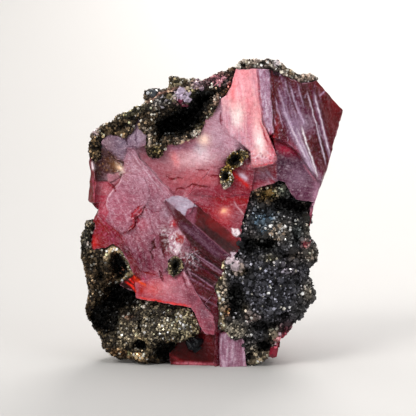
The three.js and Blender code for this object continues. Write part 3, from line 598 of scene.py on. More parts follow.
# A patch is a soft ellipse: centre, radii, turn in degrees, display colour, strength, frost, clear.
PATCHES = [
    # the middle field: warm under the crust, a grey-lilac cloud, redder towards the ridge
    ((-12.5, 53.6), (3.4, 2.6), -20, (154, 106, 118), 0.8, 0.35, 0.25),
    ((-6.2, 53.6), (4.6, 2.4), -8, (214, 164, 170), 0.85, 0.4, 0.1),
    ((-9.8, 54.2), (0.8, 2.3), 28, (238, 138, 138), 0.6, 0.2, 0.15),
    ((-9.6, 57.2), (3.0, 1.1), 0, (150, 108, 130), 0.7, 0.4, 0.3),
    ((-2.6, 54.8), (3.4, 1.8), 0, (232, 198, 206), 0.9, 0.5, 0.12),
    ((0.8, 60.2), (4.6, 5.4), 20, (188, 154, 168), 0.9, 0.6, 0.12),
    ((3.2, 57.0), (1.9, 3.2), 0, (160, 124, 140), 0.6, 0.6, 0.2),
    ((-4.2, 57.6), (1.9, 1.1), 10, (132, 98, 116), 0.8, 0.4, 0.3),
    ((-3.0, 56.4), (1.6, 1.3), 0, (222, 206, 214), 0.9, 0.6, 0.12),
    ((-2.2, 59.2), (1.5, 1.3), -30, (255, 222, 204), 1.0, 0.3, 0.05),
    ((1.6, 66.4), (2.4, 3.8), 0, (190, 156, 174), 0.7, 0.6, 0.15),
    ((4.4, 61.5), (1.0, 5.0), 0, (204, 138, 152), 0.5, 0.5, 0.15),
    ((-10.6, 50.0), (4.4, 2.2), -35, (164, 96, 102), 0.8, 0.3, 0.3),
    ((-3.0, 48.6), (6.5, 2.2), 0, (182, 92, 98), 0.8, 0.25, 0.3),
    ((-1.0, 46.0), (6.0, 1.4), 0, (138, 52, 64), 0.75, 0.25, 0.4),
    ((5.0, 55.2), (1.2, 1.6), 0, (116, 62, 74), 0.6, 0.35, 0.35),
    ((7.4, 46.8), (3.4, 1.5), -20, (138, 44, 54), 0.7, 0.3, 0.35),
    ((-17.6, 61.5), (2.0, 3.2), -10, (178, 158, 172), 0.8, 0.6, 0.15),
    ((-17.3, 56.6), (1.8, 1.8), 0, (150, 98, 110), 0.8, 0.4, 0.25),
    ((-16.4, 54.0), (1.8, 1.6), -30, (140, 80, 88), 0.7, 0.3, 0.35),
    # the upper left: darker greys, a pinker left end
    ((-23.6, 58.2), (1.8, 2.0), 0, (104, 92, 108), 0.7, 0.5, 0.3),
    ((-28.0, 59.0), (1.8, 1.2), 20, (132, 104, 112), 0.7, 0.6, 0.2),
    ((-27.6, 57.0), (2.4, 1.4), 20, (118, 90, 96), 0.7, 0.5, 0.3),
    ((-19.4, 59.0), (1.2, 2.6), 0, (138, 120, 138), 0.6, 0.5, 0.3),
    ((-21.0, 55.4), (1.6, 1.6), 0, (142, 116, 134), 0.7, 0.6, 0.2),
    # the amber window: gold grains and a painted glint
    ((-28.6, 54.4), (2.6, 2.0), 20, (74, 50, 46), 0.8, 0.2, 0.4),
    ((-25.6, 52.6), (2.2, 1.4), -30, (130, 92, 66), 0.8, 0.3, 0.3),
    ((-24.2, 51.9), (1.0, 0.6), -40, (255, 214, 170), 1.0, 0.3, 0.05),
    ((-23.3, 51.0), (0.6, 0.45), 0, (255, 238, 228), 1.0, 0.3, 0.05),
    ((-29, 51.5), (1.6, 2.6), 0, (84, 56, 54), 0.6, 0.25, 0.45),
    ((-26.6, 49.4), (2.4, 0.9), 0, (150, 112, 122), 0.8, 0.5, 0.3),
    # the big left field and its lobe
    ((-20, 52.0), (2.6, 3.4), 0, (180, 138, 150), 0.8, 0.8, 0.1),
    ((-18.2, 48.4), (3.0, 2.6), -30, (176, 130, 146), 0.7, 0.8, 0.1),
    ((-24.4, 43.0), (3.6, 2.8), 0, (176, 104, 122), 0.85, 0.6, 0.15),
    ((-24.6, 38.6), (2.8, 2.4), 20, (156, 78, 94), 0.85, 0.5, 0.2),
    ((-29.0, 42.4), (1.0, 2.0), 0, (176, 70, 84), 0.8, 0.4, 0.2),
    ((-15.4, 42.4), (3.2, 2.8), 20, (150, 108, 124), 0.7, 0.8, 0.12),
    ((-14.8, 37.2), (2.6, 3.0), 10, (148, 96, 110), 0.7, 0.8, 0.15),
    ((-18.0, 37.0), (1.4, 1.4), 0, (190, 100, 116), 0.7, 0.6, 0.15),
    ((-18.6, 40.6), (1.2, 1.2), 0, (150, 50, 62), 0.7, 0.4, 0.25),
    ((-12.7, 32.6), (1.2, 2.1), 4, (74, 18, 24), 0.98, 0.1, 0.5),
    ((-12.2, 29.6), (1.6, 1.2), 0, (112, 42, 50), 0.8, 0.3, 0.4),
    ((-12.4, 36.4), (1.2, 1.4), 0, (120, 48, 56), 0.8, 0.3, 0.4),
    ((-15.6, 32.0), (2.2, 2.6), 0, (108, 60, 72), 0.85, 0.5, 0.2),
    ((-14.0, 27.4), (3.0, 2.4), 0, (120, 70, 82), 0.8, 0.6, 0.15),
    ((-18.6, 30.6), (2.0, 3.0), 20, (102, 50, 60), 0.85, 0.45, 0.2),
    ((-16.4, 25.8), (2.2, 1.6), 0, (106, 50, 60), 0.8, 0.5, 0.2),
    ((-19.6, 33.4), (2.6, 2.4), -50, (146, 84, 96), 0.8, 0.6, 0.2),
    ((-18.2, 27.8), (1.8, 2.6), 30, (88, 42, 50), 0.9, 0.4, 0.3),
    ((-15.6, 24.2), (2.2, 0.9), 10, (158, 66, 76), 0.8, 0.3, 0.3),
    ((-10.4, 42.4), (1.4, 1.2), 0, (150, 112, 128), 0.6, 0.8, 0.15),
    ((-12.2, 39.9), (1.3, 1.3), 0, (168, 142, 158), 0.85, 0.8, 0.12),
    ((-9.9, 37.5), (0.8, 1.1), -20, (190, 40, 36), 0.95, 0.1, 0.3),
    ((-6.4, 31.2), (1.4, 1.4), 0, (104, 40, 50), 0.85, 0.3, 0.3),
    ((-4.9, 30.5), (0.9, 0.6), 0, (150, 26, 30), 0.8, 0.1, 0.3),
    ((-6.4, 28.0), (1.4, 1.2), 0, (96, 40, 50), 0.8, 0.3, 0.3),
    # red shoulder: orange to the left, purple to the right
    ((-31.4, 32.2), (1.5, 1.6), 0, (200, 58, 46), 0.95, 0.2, 0.2),
    ((-28.8, 35.8), (2.2, 1.6), -40, (146, 32, 48), 0.85, 0.3, 0.25),
    ((-26.0, 33.4), (2.2, 1.4), -40, (132, 46, 68), 0.8, 0.35, 0.25),
    ((-22.6, 30.2), (1.6, 2.6), 32, (84, 34, 50), 0.9, 0.3, 0.3),
    ((-19.8, 25.6), (1.4, 2.6), 32, (106, 40, 56), 0.85, 0.3, 0.3),
    ((-17.6, 22.8), (1.0, 1.0), 0, (164, 64, 96), 0.8, 0.4, 0.25),
    # ember and salmon wedge
    ((-20.4, 22.8), (1.0, 0.6), -40, (206, 62, 30), 0.8, 0.1, 0.3),
    ((-18.4, 20.2), (1.2, 1.8), 0, (164, 44, 36), 0.95, 0.1, 0.15),
    ((-15.0, 20.4), (2.6, 2.0), 0, (206, 92, 90), 0.9, 0.3, 0.12),
    ((-11.4, 20.6), (2.6, 2.0), 0, (214, 138, 148), 0.85, 0.5, 0.1),
    ((-8.0, 20.4), (2.6, 2.2), -30, (176, 112, 126), 0.8, 0.55, 0.15),
    ((-5.2, 18.4), (2.0, 2.6), 30, (122, 70, 82), 0.85, 0.45, 0.2),
    ((-2.2, 14.6), (1.6, 2.4), 20, (116, 76, 88), 0.85, 0.45, 0.2),
    ((-0.8, 11.0), (1.4, 1.6), 0, (112, 64, 74), 0.85, 0.4, 0.25),
    # ridge
    ((-10.6, 41.0), (1.8, 0.9), -45, (104, 62, 68), 0.8, 0.3, 0.3),
    ((-8.4, 37.6), (1.4, 1.2), -45, (90, 46, 52), 0.8, 0.3, 0.3),
    # ruby hollow and its painted glowing spot
    ((3.0, 39.8), (2.6, 2.4), 0, (196, 88, 92), 0.85, 0.3, 0.15),
    ((3.3, 40.7), (1.2, 0.9), 0, (236, 150, 138), 0.95, 0.25, 0.08),
    ((3.2, 40.9), (0.5, 0.4), 0, (255, 196, 150), 1.0, 0.2, 0.05),
    ((6.6, 38.4), (1.8, 2.6), 0, (150, 88, 98), 0.75, 0.5, 0.3),
    ((-2.4, 43.0), (2.6, 0.9), -10, (166, 96, 110), 0.7, 0.5, 0.3),
    ((4.4, 43.8), (4.0, 1.0), 0, (160, 48, 58), 0.7, 0.3, 0.3),
    ((5.8, 34.6), (1.2, 1.2), 0, (176, 60, 66), 0.6, 0.3, 0.3),
    # rose field
    ((12.8, 49.6), (2.8, 1.5), 0, (98, 70, 84), 0.8, 0.4, 0.35),
    ((3.4, 48.6), (2.0, 1.6), 0, (150, 56, 64), 0.7, 0.3, 0.35),
    ((12.4, 46.4), (2.0, 1.0), 20, (148, 66, 78), 0.6, 0.3, 0.3),
    # bright block: two columns with painted glowing light, a lilac lower left, rose between
    ((6.1, 65.2), (1.9, 4.0), 6, (255, 246, 240), 1.0, 0.25, 0.02),
    ((7.4, 72.6), (2.8, 3.6), 0, (250, 178, 188), 0.9, 0.3, 0.05),
    ((5.4, 71.6), (0.7, 3.4), 0, (250, 110, 110), 0.6, 0.2, 0.1),
    ((12.1, 58.6), (1.25, 4.4), 8, (255, 246, 242), 1.0, 0.25, 0.02),
    ((11.6, 62.8), (0.9, 2.6), 6, (250, 196, 196), 0.8, 0.3, 0.05),
    ((6.6, 59.2), (3.6, 3.4), -20, (206, 162, 182), 0.95, 0.8, 0.12),
    ((4.0, 64.4), (1.4, 3.0), 0, (190, 140, 158), 0.8, 0.6, 0.12),
    ((9.2, 62.0), (1.1, 4.6), 4, (200, 126, 144), 0.8, 0.5, 0.15),
    ((10.8, 73.8), (0.9, 4.6), 4, (226, 170, 184), 0.75, 0.4, 0.12),
    ((13.8, 53.8), (2.6, 0.8), 0, (190, 116, 136), 0.8, 0.6, 0.12),
    ((15.6, 55.4), (0.7, 2.6), 12, (214, 130, 146), 0.7, 0.4, 0.2),
    # right field: red to the far right, a dark notch at the top, lilac haze to the left
    ((31.5, 65.5), (3.2, 4.6), 0, (104, 24, 34), 0.95, 0.1, 0.4),
    ((32.8, 69.0), (1.6, 1.6), 0, (136, 34, 46), 0.7, 0.1, 0.4),
    ((28.5, 73.4), (2.6, 1.6), -40, (118, 30, 44), 0.8, 0.15, 0.4),
    ((16.0, 76.8), (2.5, 1.2), -28, (34, 10, 14), 0.95, 0.0, 0.4),
    ((20.5, 70.0), (3.6, 3.4), 0, (108, 76, 96), 0.5, 0.45, 0.35),
    ((22.0, 63.4), (2.0, 3.4), -24, (140, 112, 138), 0.7, 0.6, 0.25),
    ((24.6, 63.8), (2.0, 2.6), -15, (156, 132, 154), 0.75, 0.65, 0.2),
    ((27.6, 66.0), (0.8, 5.0), 15, (92, 22, 36), 0.8, 0.1, 0.4),
    ((25.8, 67.6), (0.5, 3.0), 15, (84, 26, 40), 0.6, 0.1, 0.4),
    ((26.9, 56.0), (0.6, 3.0), 15, (84, 20, 36), 0.8, 0.1, 0.4),
    ((16.6, 63.0), (0.7, 2.8), 0, (140, 20, 38), 0.85, 0.1, 0.4),
    ((15.6, 59.2), (0.7, 1.8), 20, (196, 24, 44), 0.9, 0.05, 0.4),
    ((28.2, 58.6), (1.0, 5.0), 14, (70, 20, 30), 0.85, 0.1, 0.4),
    # under it: the bright red sliver, the frosted edge
    ((18.8, 56.7), (3.0, 1.4), -14, (196, 54, 80), 0.98, 0.2, 0.2),
    ((27.4, 45.0), (1.2, 4.4), -10, (178, 130, 154), 0.9, 0.5, 0.2),
    ((19.0, 53.2), (2.6, 1.2), 0, (84, 56, 70), 0.8, 0.3, 0.4),
    ((22.6, 49.6), (2.8, 2.8), -30, (142, 112, 134), 0.8, 0.6, 0.3),
    # foot
    ((-0.8, 5.4), (1.6, 3.6), 0, (124, 26, 42), 0.8, 0.2, 0.4),
]

# A streak is a polyline, its half width, display colour, strength, frost, and how far it stands out.
LILAC = (192, 172, 198)
WHITE = (236, 226, 236)
STREAKS = [
    # right field, running down to the right: raised striae, their pale and white lines painted as highlights
    ([(26.2, 71.6), (28.3, 63.4), (30.4, 55.2)], 0.5, (150, 120, 148), 0.7, 0.6, 0.0),
    ([(26.4, 71.2), (28.5, 63.2), (30.5, 55.2)], 0.16, (232, 222, 236), 0.95, 0.6, 0.1),
    ([(24.6, 71.6), (27.2, 62), (29.4, 52.7)], 0.15, (222, 210, 228), 0.9, 0.6, 0.1),
    ([(21.4, 60.8), (24.2, 54.6), (26.8, 49.9)], 0.8, (188, 164, 190), 0.8, 0.7, 0.05),
    ([(23.0, 62.6), (25.2, 55.6), (27.2, 49.7)], 0.2, (250, 246, 252), 1.0, 0.7, 0.1),
    ([(21.8, 62.2), (24.0, 56.4), (26.6, 50.4)], 0.14, WHITE, 0.9, 0.7, 0.06),
    ([(17.6, 68.4), (20.6, 62.6), (23.4, 56.2), (25.9, 50.6)], 0.9, (156, 130, 158), 0.75, 0.6, 0.05),
    ([(18.4, 66.4), (21.8, 59.6), (25.6, 51.2)], 0.22, (216, 200, 220), 0.55, 0.6, 0.05),
    ([(20.4, 62.4), (22.4, 58.0), (24.2, 54.2)], 0.2, (226, 214, 230), 0.8, 0.6, 0.08),
    ([(16.9, 72.6), (18.6, 67.2), (20.5, 62.6)], 0.24, LILAC, 0.7, 0.6, 0.06),
    ([(19.8, 73.4), (21.6, 68.4), (24.0, 62.8)], 0.26, LILAC, 0.7, 0.6, 0.06),
    ([(16.2, 70.0), (17.0, 66.4), (18.2, 62.4)], 0.2, LILAC, 0.6, 0.6, 0.06),
    ([(22.0, 73.6), (22.9, 70.4), (23.8, 67.4)], 0.2, LILAC, 0.6, 0.6, 0.05),
    ([(18.4, 74.6), (19.2, 71.6), (20.4, 68.8)], 0.2, LILAC, 0.5, 0.6, 0.05),
    ([(15.3, 77.5), (15.4, 70), (15.9, 61.5)], 0.22, (104, 24, 38), 0.75, 0.1, -0.12),
    ([(28.0, 70.6), (29.4, 71.9)], 0.25, LILAC, 0.55, 0.5, 0.0),
    # frosted strip and block beside it
    ([(11.6, 77.6), (12.4, 69), (13.2, 63.4), (14.6, 60.6)], 0.22, (140, 30, 46), 0.7, 0.1, -0.18),
    ([(14.8, 61.2), (15.4, 57.2), (16.5, 54.4)], 0.18, (160, 34, 50), 0.7, 0.1, -0.12),
    ([(10.7, 52.3), (12.6, 52.5), (14.4, 52.9), (16.1, 53.5)], 0.24, (206, 60, 72), 0.9, 0.1, 0.0),
    ([(13.2, 60.6), (14.6, 58.4), (15.6, 56.6)], 0.2, (170, 40, 60), 0.6, 0.1, -0.1),
    ([(15.8, 59.2), (19, 57.9), (21.4, 56.2), (23.4, 53.6)], 0.2, (120, 18, 34), 0.8, 0.1, -0.12),
    ([(23.6, 52.9), (25.4, 50.3), (27.1, 48.3)], 0.22, (188, 120, 140), 0.8, 0.4, 0.05),
    # the ridge's crest, its lilac band and the lines under it
    ([(-7.2, 39.6), (-1, 34.2), (4.8, 29.1)], 0.14, (150, 104, 120), 0.5, 0.4, 0.0),
    ([(-8.4, 37.8), (-3.2, 33.4), (2.4, 28.6)], 0.85, (120, 88, 106), 0.65, 0.4, 0.0),
    ([(-4, 29.2), (0, 26.6), (3.6, 23.9)], 0.2, (152, 118, 138), 0.8, 0.5, 0.1),
    ([(-6, 25.2), (-2.4, 22.8), (1, 20.4)], 0.16, (150, 112, 132), 0.75, 0.5, 0.1),
    ([(-5.4, 27.2), (-2.2, 25.4), (0.6, 23.6)], 0.14, (126, 76, 94), 0.5, 0.4, 0.06),
    # right of the lower pit: two light slivers
    ([(-7.6, 25.6), (-6.6, 23.4), (-5.8, 21.4)], 0.3, (206, 168, 182), 0.8, 0.6, 0.14),
    ([(-8.0, 24.6), (-7.2, 22.6), (-6.4, 20.6)], 0.2, (90, 20, 32), 0.8, 0.1, -0.2),
    ([(-6.6, 26.2), (-5.4, 23.8)], 0.18, (180, 140, 156), 0.6, 0.6, 0.1),
    # rose field: an orange-red streak and pale painted glints
    ([(4.8, 50.8), (6.8, 49.3), (9.7, 46.9)], 0.55, (196, 48, 44), 0.9, 0.15, 0.0),
    ([(7.1, 50.4), (9.0, 48.7)], 0.5, (206, 184, 204), 0.9, 0.6, 0.0),
    ([(4.4, 51.2), (8.0, 52.6), (10.6, 52.2)], 0.3, (178, 46, 60), 0.6, 0.2, 0.0),
    ([(11.0, 46.0), (13.4, 47.4), (15.6, 48.0)], 0.35, (180, 120, 132), 0.6, 0.5, 0.0),
    ([(13.6, 51.4), (15.2, 49.6), (17.6, 47.8)], 0.4, (150, 126, 146), 0.6, 0.6, 0.0),
    ([(12.0, 51.4), (14, 49.4), (14.8, 47.6)], 0.25, (156, 120, 140), 0.5, 0.6, 0.0),
    # scratches over the ruby hollow
    ([(5.6, 43.4), (6.6, 41.6), (8.2, 39.6)], 0.2, (214, 170, 180), 0.75, 0.5, 0.0),
    ([(4.6, 42.6), (6.2, 42.0), (8.6, 42.4)], 0.16, (200, 130, 138), 0.6, 0.4, 0.0),
    # painted highlights along the pale edges of the lobe and of the left plate
    ([(-27.4, 41.0), (-27.5, 42.6), (-27.2, 44.3), (-26.2, 45.6), (-24.0, 48.0), (-23.2, 49.9)], 0.2,
     (222, 184, 196), 0.7,
     0.7, 0.05),
    ([(-21.6, 56.6), (-19.4, 53.6), (-17.2, 50.8), (-14.4, 47.6), (-12.2, 45.2)], 0.16, (214, 186, 200),
     0.6, 0.7, 0.03),
    # flames in the ember chip
    ([(-20.7, 23.6), (-19.0, 22.4), (-17.0, 21.2)], 0.32, (232, 84, 40), 0.9, 0.1, 0.0),
    ([(-22.8, 21.9), (-21.2, 21.0), (-19.9, 19.6)], 0.3, (236, 62, 24), 0.95, 0.1, 0.0),
    ([(-21.9, 22.9), (-20.6, 21.6)], 0.24, (226, 52, 22), 0.9, 0.1, 0.0),
    # the salmon wedge's lit lower edge, and the left field's red joint
    ([(-19.9, 18.4), (-15, 17.5), (-10.5, 16.7), (-5.7, 16.1)], 0.34, (226, 70, 62), 0.9, 0.15, 0.0),
    ([(-5.6, 15.6), (-4.6, 13.4), (-3.4, 11.0)], 0.25, (176, 50, 58), 0.7, 0.15, 0.0),
    ([(-27.6, 37.0), (-24.6, 35.0), (-23, 34.8), (-21.2, 35.8), (-20.4, 37)], 0.26, (146, 30, 44), 0.7, 0.2,
     0.0),
    # the step edge that runs down from the upper left, with a painted highlight along it
    ([(-19.9, 56.4), (-18.8, 54.1), (-16.9, 52.3), (-14.9, 50), (-12.9, 47.7), (-11.2, 46.4)], 0.22,
     (196, 160, 174), 0.65, 0.6, 0.0),
    # rib at the left edge, with a painted highlight at its top
    ([(-31.5, 53.6), (-31.0, 51.4)], 0.4, (246, 232, 238), 0.95, 0.5, 0.0),
    ([(-31.2, 50), (-30.9, 44)], 0.2, (160, 84, 102), 0.6, 0.3, 0.0),
    # foot
    ([(-10.6, 0.6), (-4, 0.45), (1.6, 0.4)], 0.4, (206, 112, 124), 0.85, 0.4, 0.0),
    ([(-10.9, 2.6), (-9.2, 1.4), (-7.6, 0.8)], 0.4, (150, 30, 44), 0.6, 0.2, 0.0),
    # the bright block: a dark seam beside the frosted strip, red cracks in its lower corner
    ([(11.5, 77.0), (11.9, 73.0), (12.7, 68.4)], 0.2, (150, 62, 78), 0.75, 0.5, 0.0),
    ([(12.0, 64.4), (12.9, 61.6), (14.2, 58.6)], 0.24, (176, 30, 48), 0.8, 0.1, 0.0),
    ([(12.8, 62.4), (13.6, 60.0), (14.6, 57.4)], 0.16, (150, 16, 34), 0.7, 0.1, 0.0),
]

# A crack is a polyline, its half width, depth and display colour. It narrows to both ends.
CRACKS = [
    ([(-17.6, 41.9), (-18.6, 40.6), (-20.2, 39.2), (-20.3, 37.2), (-21.2, 36.2), (-22.9, 35.1)], 0.62, 0.3,
     (160, 22, 40)),
    ([(-18.4, 42.2), (-19.8, 41.2), (-20.9, 39.8), (-20.9, 38.4)], 0.4, 0.25, (160, 26, 44)),
    ([(-20.4, 39.6), (-19.2, 38.4), (-19.6, 37.4)], 0.3, 0.25, (146, 22, 36)),
    ([(-22.6, 60.4), (-22.3, 58.6), (-21.9, 57.4)], 0.16, 0.2, (66, 30, 44)),
    ([(-21.8, 57.2), (-20.6, 57.3), (-19.4, 56.8)], 0.12, 0.12, (110, 76, 94)),
    ([(-19.8, 62.6), (-19.9, 60), (-19.6, 57.8)], 0.12, 0.12, (96, 66, 84)),
    ([(-14.8, 33.6), (-15.5, 32.4), (-15.0, 31.6), (-15.7, 30.4)], 0.5, 0.35, (84, 14, 22)),
    ([(-16.2, 30.4), (-15.7, 29.2), (-15.3, 28.2)], 0.32, 0.3, (84, 14, 22)),
    ([(-12.9, 31.0), (-12.4, 29.6), (-12.2, 28.6)], 0.28, 0.25, (92, 18, 26)),
    ([(-13.5, 25.2), (-13.1, 23.6), (-12.6, 22.4)], 0.5, 0.35, (98, 26, 36)),
    ([(-18.8, 25.0), (-16.6, 24.4), (-14.6, 24.1)], 0.26, 0.25, (134, 18, 28)),
    ([(-12, 49.6), (-10.2, 48.9), (-8.8, 49.3), (-7.8, 49)], 0.24, 0.2, (112, 18, 28)),
    ([(-6.8, 46.7), (-5.2, 47.5), (-3.2, 47.2), (-0.6, 46.9)], 0.26, 0.22, (112, 18, 28)),
    ([(-9.6, 46.0), (-8.6, 46.5), (-7.2, 46.4)], 0.2, 0.18, (122, 20, 30)),
    ([(-1, 49.9), (2, 49.6)], 0.16, 0.15, (128, 28, 40)),
    ([(-4.4, 51.4), (-2.4, 51.2), (-0.4, 51.3)], 0.16, 0.12, (140, 50, 60)),
    ([(-27.6, 48.3), (-25.6, 46.6), (-25.2, 45.8)], 0.26, 0.3, (132, 22, 32)),
    ([(4.8, 44.6), (8, 44.9), (10, 45)], 0.2, 0.2, (126, 50, 64)),
    ([(-22.2, 57.0), (-22.7, 55.4), (-22.9, 54.2)], 0.14, 0.12, (104, 76, 88)),
    ([(-16.4, 41.2), (-15.6, 40.4), (-13.8, 40.6)], 0.18, 0.15, (128, 64, 80)),
    ([(2.0, 66.2), (2.2, 64.4), (2.4, 62.8)], 0.18, 0.2, (140, 60, 74)),
]

# Small raised or sunken patches: outline, height, display colour, frost, strength.
CHIPS = [
    ([(-13.9, 34.6), (-12.6, 35.2), (-11.6, 34.2), (-11.0, 32.2), (-11.9, 30.8), (-12.6, 29.9),
      (-13.4, 31.2)], -0.15,
     (88, 22, 28), 0.1, 0.9),
    ([(-11.6, 31.4), (-9.2, 29.0), (-7.4, 30.4), (-5.6, 29.6), (-6.4, 27.2), (-8.0, 28.0), (-10.2, 28.2),
      (-11.8, 29.6)],
     -0.1, (118, 38, 46), 0.15, 0.85),
    ([(-30.6, 45.5), (-27.7, 44.8), (-27.6, 42), (-27.0, 40.5), (-27.8, 38.4), (-25.9, 36.2), (-27.2, 36.4),
      (-29.9, 39.2), (-30.6, 42)], -0.15, (166, 66, 80), 0.3, 0.85),
    ([(-30.5, 48.0), (-27.4, 48.0), (-26.8, 46.4), (-27.4, 44.6), (-30.5, 45.0)], 0.0, (168, 88, 98), 0.35,
     0.8),
    ([(-27.6, 50.2), (-24.4, 50.4), (-24.2, 48.6), (-26.2, 46.6), (-27.4, 47.9)], 0.1, (190, 130, 142), 0.4,
     0.7),
    (RHOMB, 0.2, (186, 146, 158), 0.7, 1.0),
    ([(-9.3, 35.3), (-7.3, 34.4), (-7.9, 32.2), (-9.7, 33.2)], -0.1, (150, 50, 50), 0.1, 1.0),
    ([(-10.8, 34.2), (-9.9, 34.8), (-9.9, 33.2), (-10.9, 32.8)], -0.05, (126, 44, 56), 0.2, 0.8),
    ([(-9.6, 32.4), (-8.4, 31.8), (-8.7, 30.6), (-9.5, 31.4)], 0.1, (224, 206, 216), 0.8, 0.8),
    ([(4.8, 36.2), (6.6, 36.2), (7.4, 34.8), (6.2, 33.8), (5.4, 34.4)], 0.4, (244, 234, 238), 0.9, 1.0),
    ([(4.7, 30.2), (7.8, 30), (7.6, 28.4), (5.0, 28)], 0.3, (190, 176, 186), 0.9, 0.9),
    ([(-30.9, 61.3), (-29.6, 61.2), (-29.6, 60.2), (-30.8, 60)], 0.4, (230, 214, 220), 0.9, 1.0),
]

# Stripes: outline, direction, spacing, length, how much of the area is light, light and dark display
# colours, strengths of light and dark, frost, relief.
STRIPE_SALT = 3.7
STRIPES = [
    (STREAKED_FIELD, (5.2, -18), 1.4, 14, 0.25, (150, 122, 150), (74, 18, 30), 0.55, 0.45, 0.6, 0.08),
    (STREAKED_FIELD, (5.2, -18), 0.42, 6, 0.5, (190, 170, 194), (70, 18, 30), 0.5, 0.3, 0.6, 0.04),
    (RIDGE_LOWER, (7.5, -5.2), 0.75, 12, 0.3, (140, 104, 122), (54, 12, 20), 0.7, 0.6, 0.5, 0.12),
    (FOOT_BLOCK, (0.06, 1), 0.8, 7, 0.15, (214, 188, 206), (128, 66, 88), 0.65, 0.55, 0.7, 0.16),
    (FROSTED_STRIP, (0.05, -1), 0.5, 4, 0.25, (214, 196, 216), (146, 84, 108), 0.5, 0.4, 0.8, 0.08),
    (BRIGHT_BLOCK, (0.08, -1), 0.9, 8, 0.45, (250, 206, 204), (214, 118, 130), 0.3, 0.3, 0.4, 0.05),
    (LEFT_FIELD, (1, -2.4), 0.9, 5, 0.4, (190, 152, 168), (128, 54, 70), 0.4, 0.4, 0.75, 0.03),
]

# Speckled areas: centre, radii, turn, display colour of the specks, share, strength.
SPECKLED = [
    ((-10.3, 32.6), (1.3, 1.9), 15, (252, 246, 250), 0.44, 0.95),
    ((-9.4, 30.6), (0.9, 1.1), 15, (252, 246, 250), 0.5, 0.95),
    ((-10.6, 34.6), (0.9, 0.8), 15, (240, 226, 234), 0.4, 0.95),
    ((-9.0, 28.7), (2.6, 0.9), -20, (224, 208, 216), 0.3, 0.9),
    ((-20.4, 38.6), (1.6, 3.0), -30, (222, 170, 184), 0.26, 0.9),
    ((-12.9, 35.5), (0.9, 0.7), 0, (232, 218, 226), 0.5, 0.9),
    ((-5.2, 28.6), (1.3, 1.9), 10, (214, 206, 216), 0.34, 0.9),
    ((-11.2, 37.4), (1.4, 1.0), 0, (226, 208, 220), 0.3, 0.8),
    ((-5.3, 28.8), (1.5, 2.3), 10, (20, 14, 22), 0.46, 0.95),
    ((-5.9, 28.2), (1.5, 2.0), 10, (232, 222, 230), 0.28, 0.95),
    ((-6.0, 29.0), (2.2, 1.8), 0, (196, 170, 182), 0.24, 0.8),
    ((-20.4, 33.0), (2.6, 3.0), 0, (226, 178, 192), 0.2, 0.7),
    ((-19.6, 35.6), (2.0, 2.0), 0, (120, 30, 42), 0.26, 0.7),
    ((-17.8, 39.6), (1.6, 3.0), -20, (136, 30, 42), 0.24, 0.7),
    ((7.0, 58.6), (3.4, 2.6), -30, (214, 192, 208), 0.26, 0.7),
    ((6.2, 57.4), (3.4, 2.4), -30, (140, 50, 66), 0.16, 0.6),
    ((13.6, 69.5), (1.4, 9.0), 0, (226, 212, 228), 0.24, 0.7),
    ((13.6, 67.0), (1.4, 9.0), 0, (128, 60, 82), 0.16, 0.6),
    ((21.5, 51.5), (4.6, 3.6), -30, (204, 182, 200), 0.2, 0.7),
    ((17.6, 50.4), (2.2, 2.2), 0, (208, 190, 204), 0.26, 0.75),
    ((23.5, 46.5), (2.6, 2.6), 0, (214, 194, 210), 0.2, 0.7),
    ((20.5, 60.5), (5.0, 2.6), -20, (204, 186, 206), 0.22, 0.7),
    ((24.4, 63.6), (2.8, 3.2), -15, (222, 208, 226), 0.18, 0.3),
    ((20.6, 71.4), (5.0, 2.8), -20, (176, 154, 178), 0.24, 0.7),
    ((-15.0, 37.0), (7.0, 8.0), 0, (206, 178, 192), 0.14, 0.5),
    ((-21.0, 44.0), (7.0, 6.0), 0, (206, 172, 188), 0.12, 0.5),
    ((-14.5, 30.0), (5.0, 5.0), 0, (84, 28, 38), 0.14, 0.6),
    ((-26.6, 34.6), (3.6, 2.6), -30, (196, 108, 136), 0.26, 0.7),
    ((-23.0, 29.6), (2.0, 4.0), 30, (166, 92, 124), 0.24, 0.6),
    ((-18.6, 34.6), (3.0, 2.6), 0, (206, 130, 146), 0.18, 0.6),
    ((-3.4, 57.4), (2.6, 1.4), 0, (112, 84, 98), 0.18, 0.5),
    ((1.0, 55.4), (2.6, 2.0), 0, (150, 116, 124), 0.14, 0.5),
    ((2.0, 56.0), (3.0, 3.0), 0, (236, 218, 214), 0.08, 0.8),
    ((-26.6, 52.4), (3.6, 2.4), -25, (206, 160, 116), 0.22, 0.8),
    # painted glints in the amber window
    ((-24.3, 51.7), (1.4, 1.0), -40, (255, 240, 222), 0.36, 1.0),
    ((-27.4, 53.0), (3.2, 2.4), 0, (36, 24, 22), 0.24, 0.8),
    ((6.8, 41.6), (2.4, 2.4), 0, (230, 196, 202), 0.14, 0.7),
    ((-7.2, 53.0), (5.0, 3.0), 0, (238, 190, 190), 0.12, 0.5),
    ((-4.0, 14.0), (4.0, 5.0), 30, (176, 130, 144), 0.16, 0.5),
    ((-9.0, 20.0), (7.0, 3.0), 0, (214, 150, 158), 0.14, 0.45),
    ((5.0, 4.0), (3.0, 4.0), 0, (228, 208, 222), 0.18, 0.6),
    ((-8.6, 43.2), (3.2, 1.6), 0, (222, 208, 226), 0.2, 0.6),
    ((13.4, 54.2), (3.0, 1.2), 0, (112, 44, 62), 0.14, 0.6),
    ((1.6, 62.6), (3.0, 6.0), 0, (196, 168, 184), 0.14, 0.5),
    ((11.6, 54.8), (4.4, 1.8), 5, (240, 214, 224), 0.36, 0.9),
    ((12.0, 54.4), (4.4, 1.6), 5, (128, 44, 62), 0.3, 0.85),
    ((6.0, 35.0), (1.6, 1.5), 0, (148, 84, 98), 0.34, 0.85),
    ((6.3, 29.2), (1.9, 1.3), 0, (118, 60, 74), 0.3, 0.8),
    ((6.5, 29.0), (1.9, 1.3), 0, (244, 236, 242), 0.3, 0.9),
]

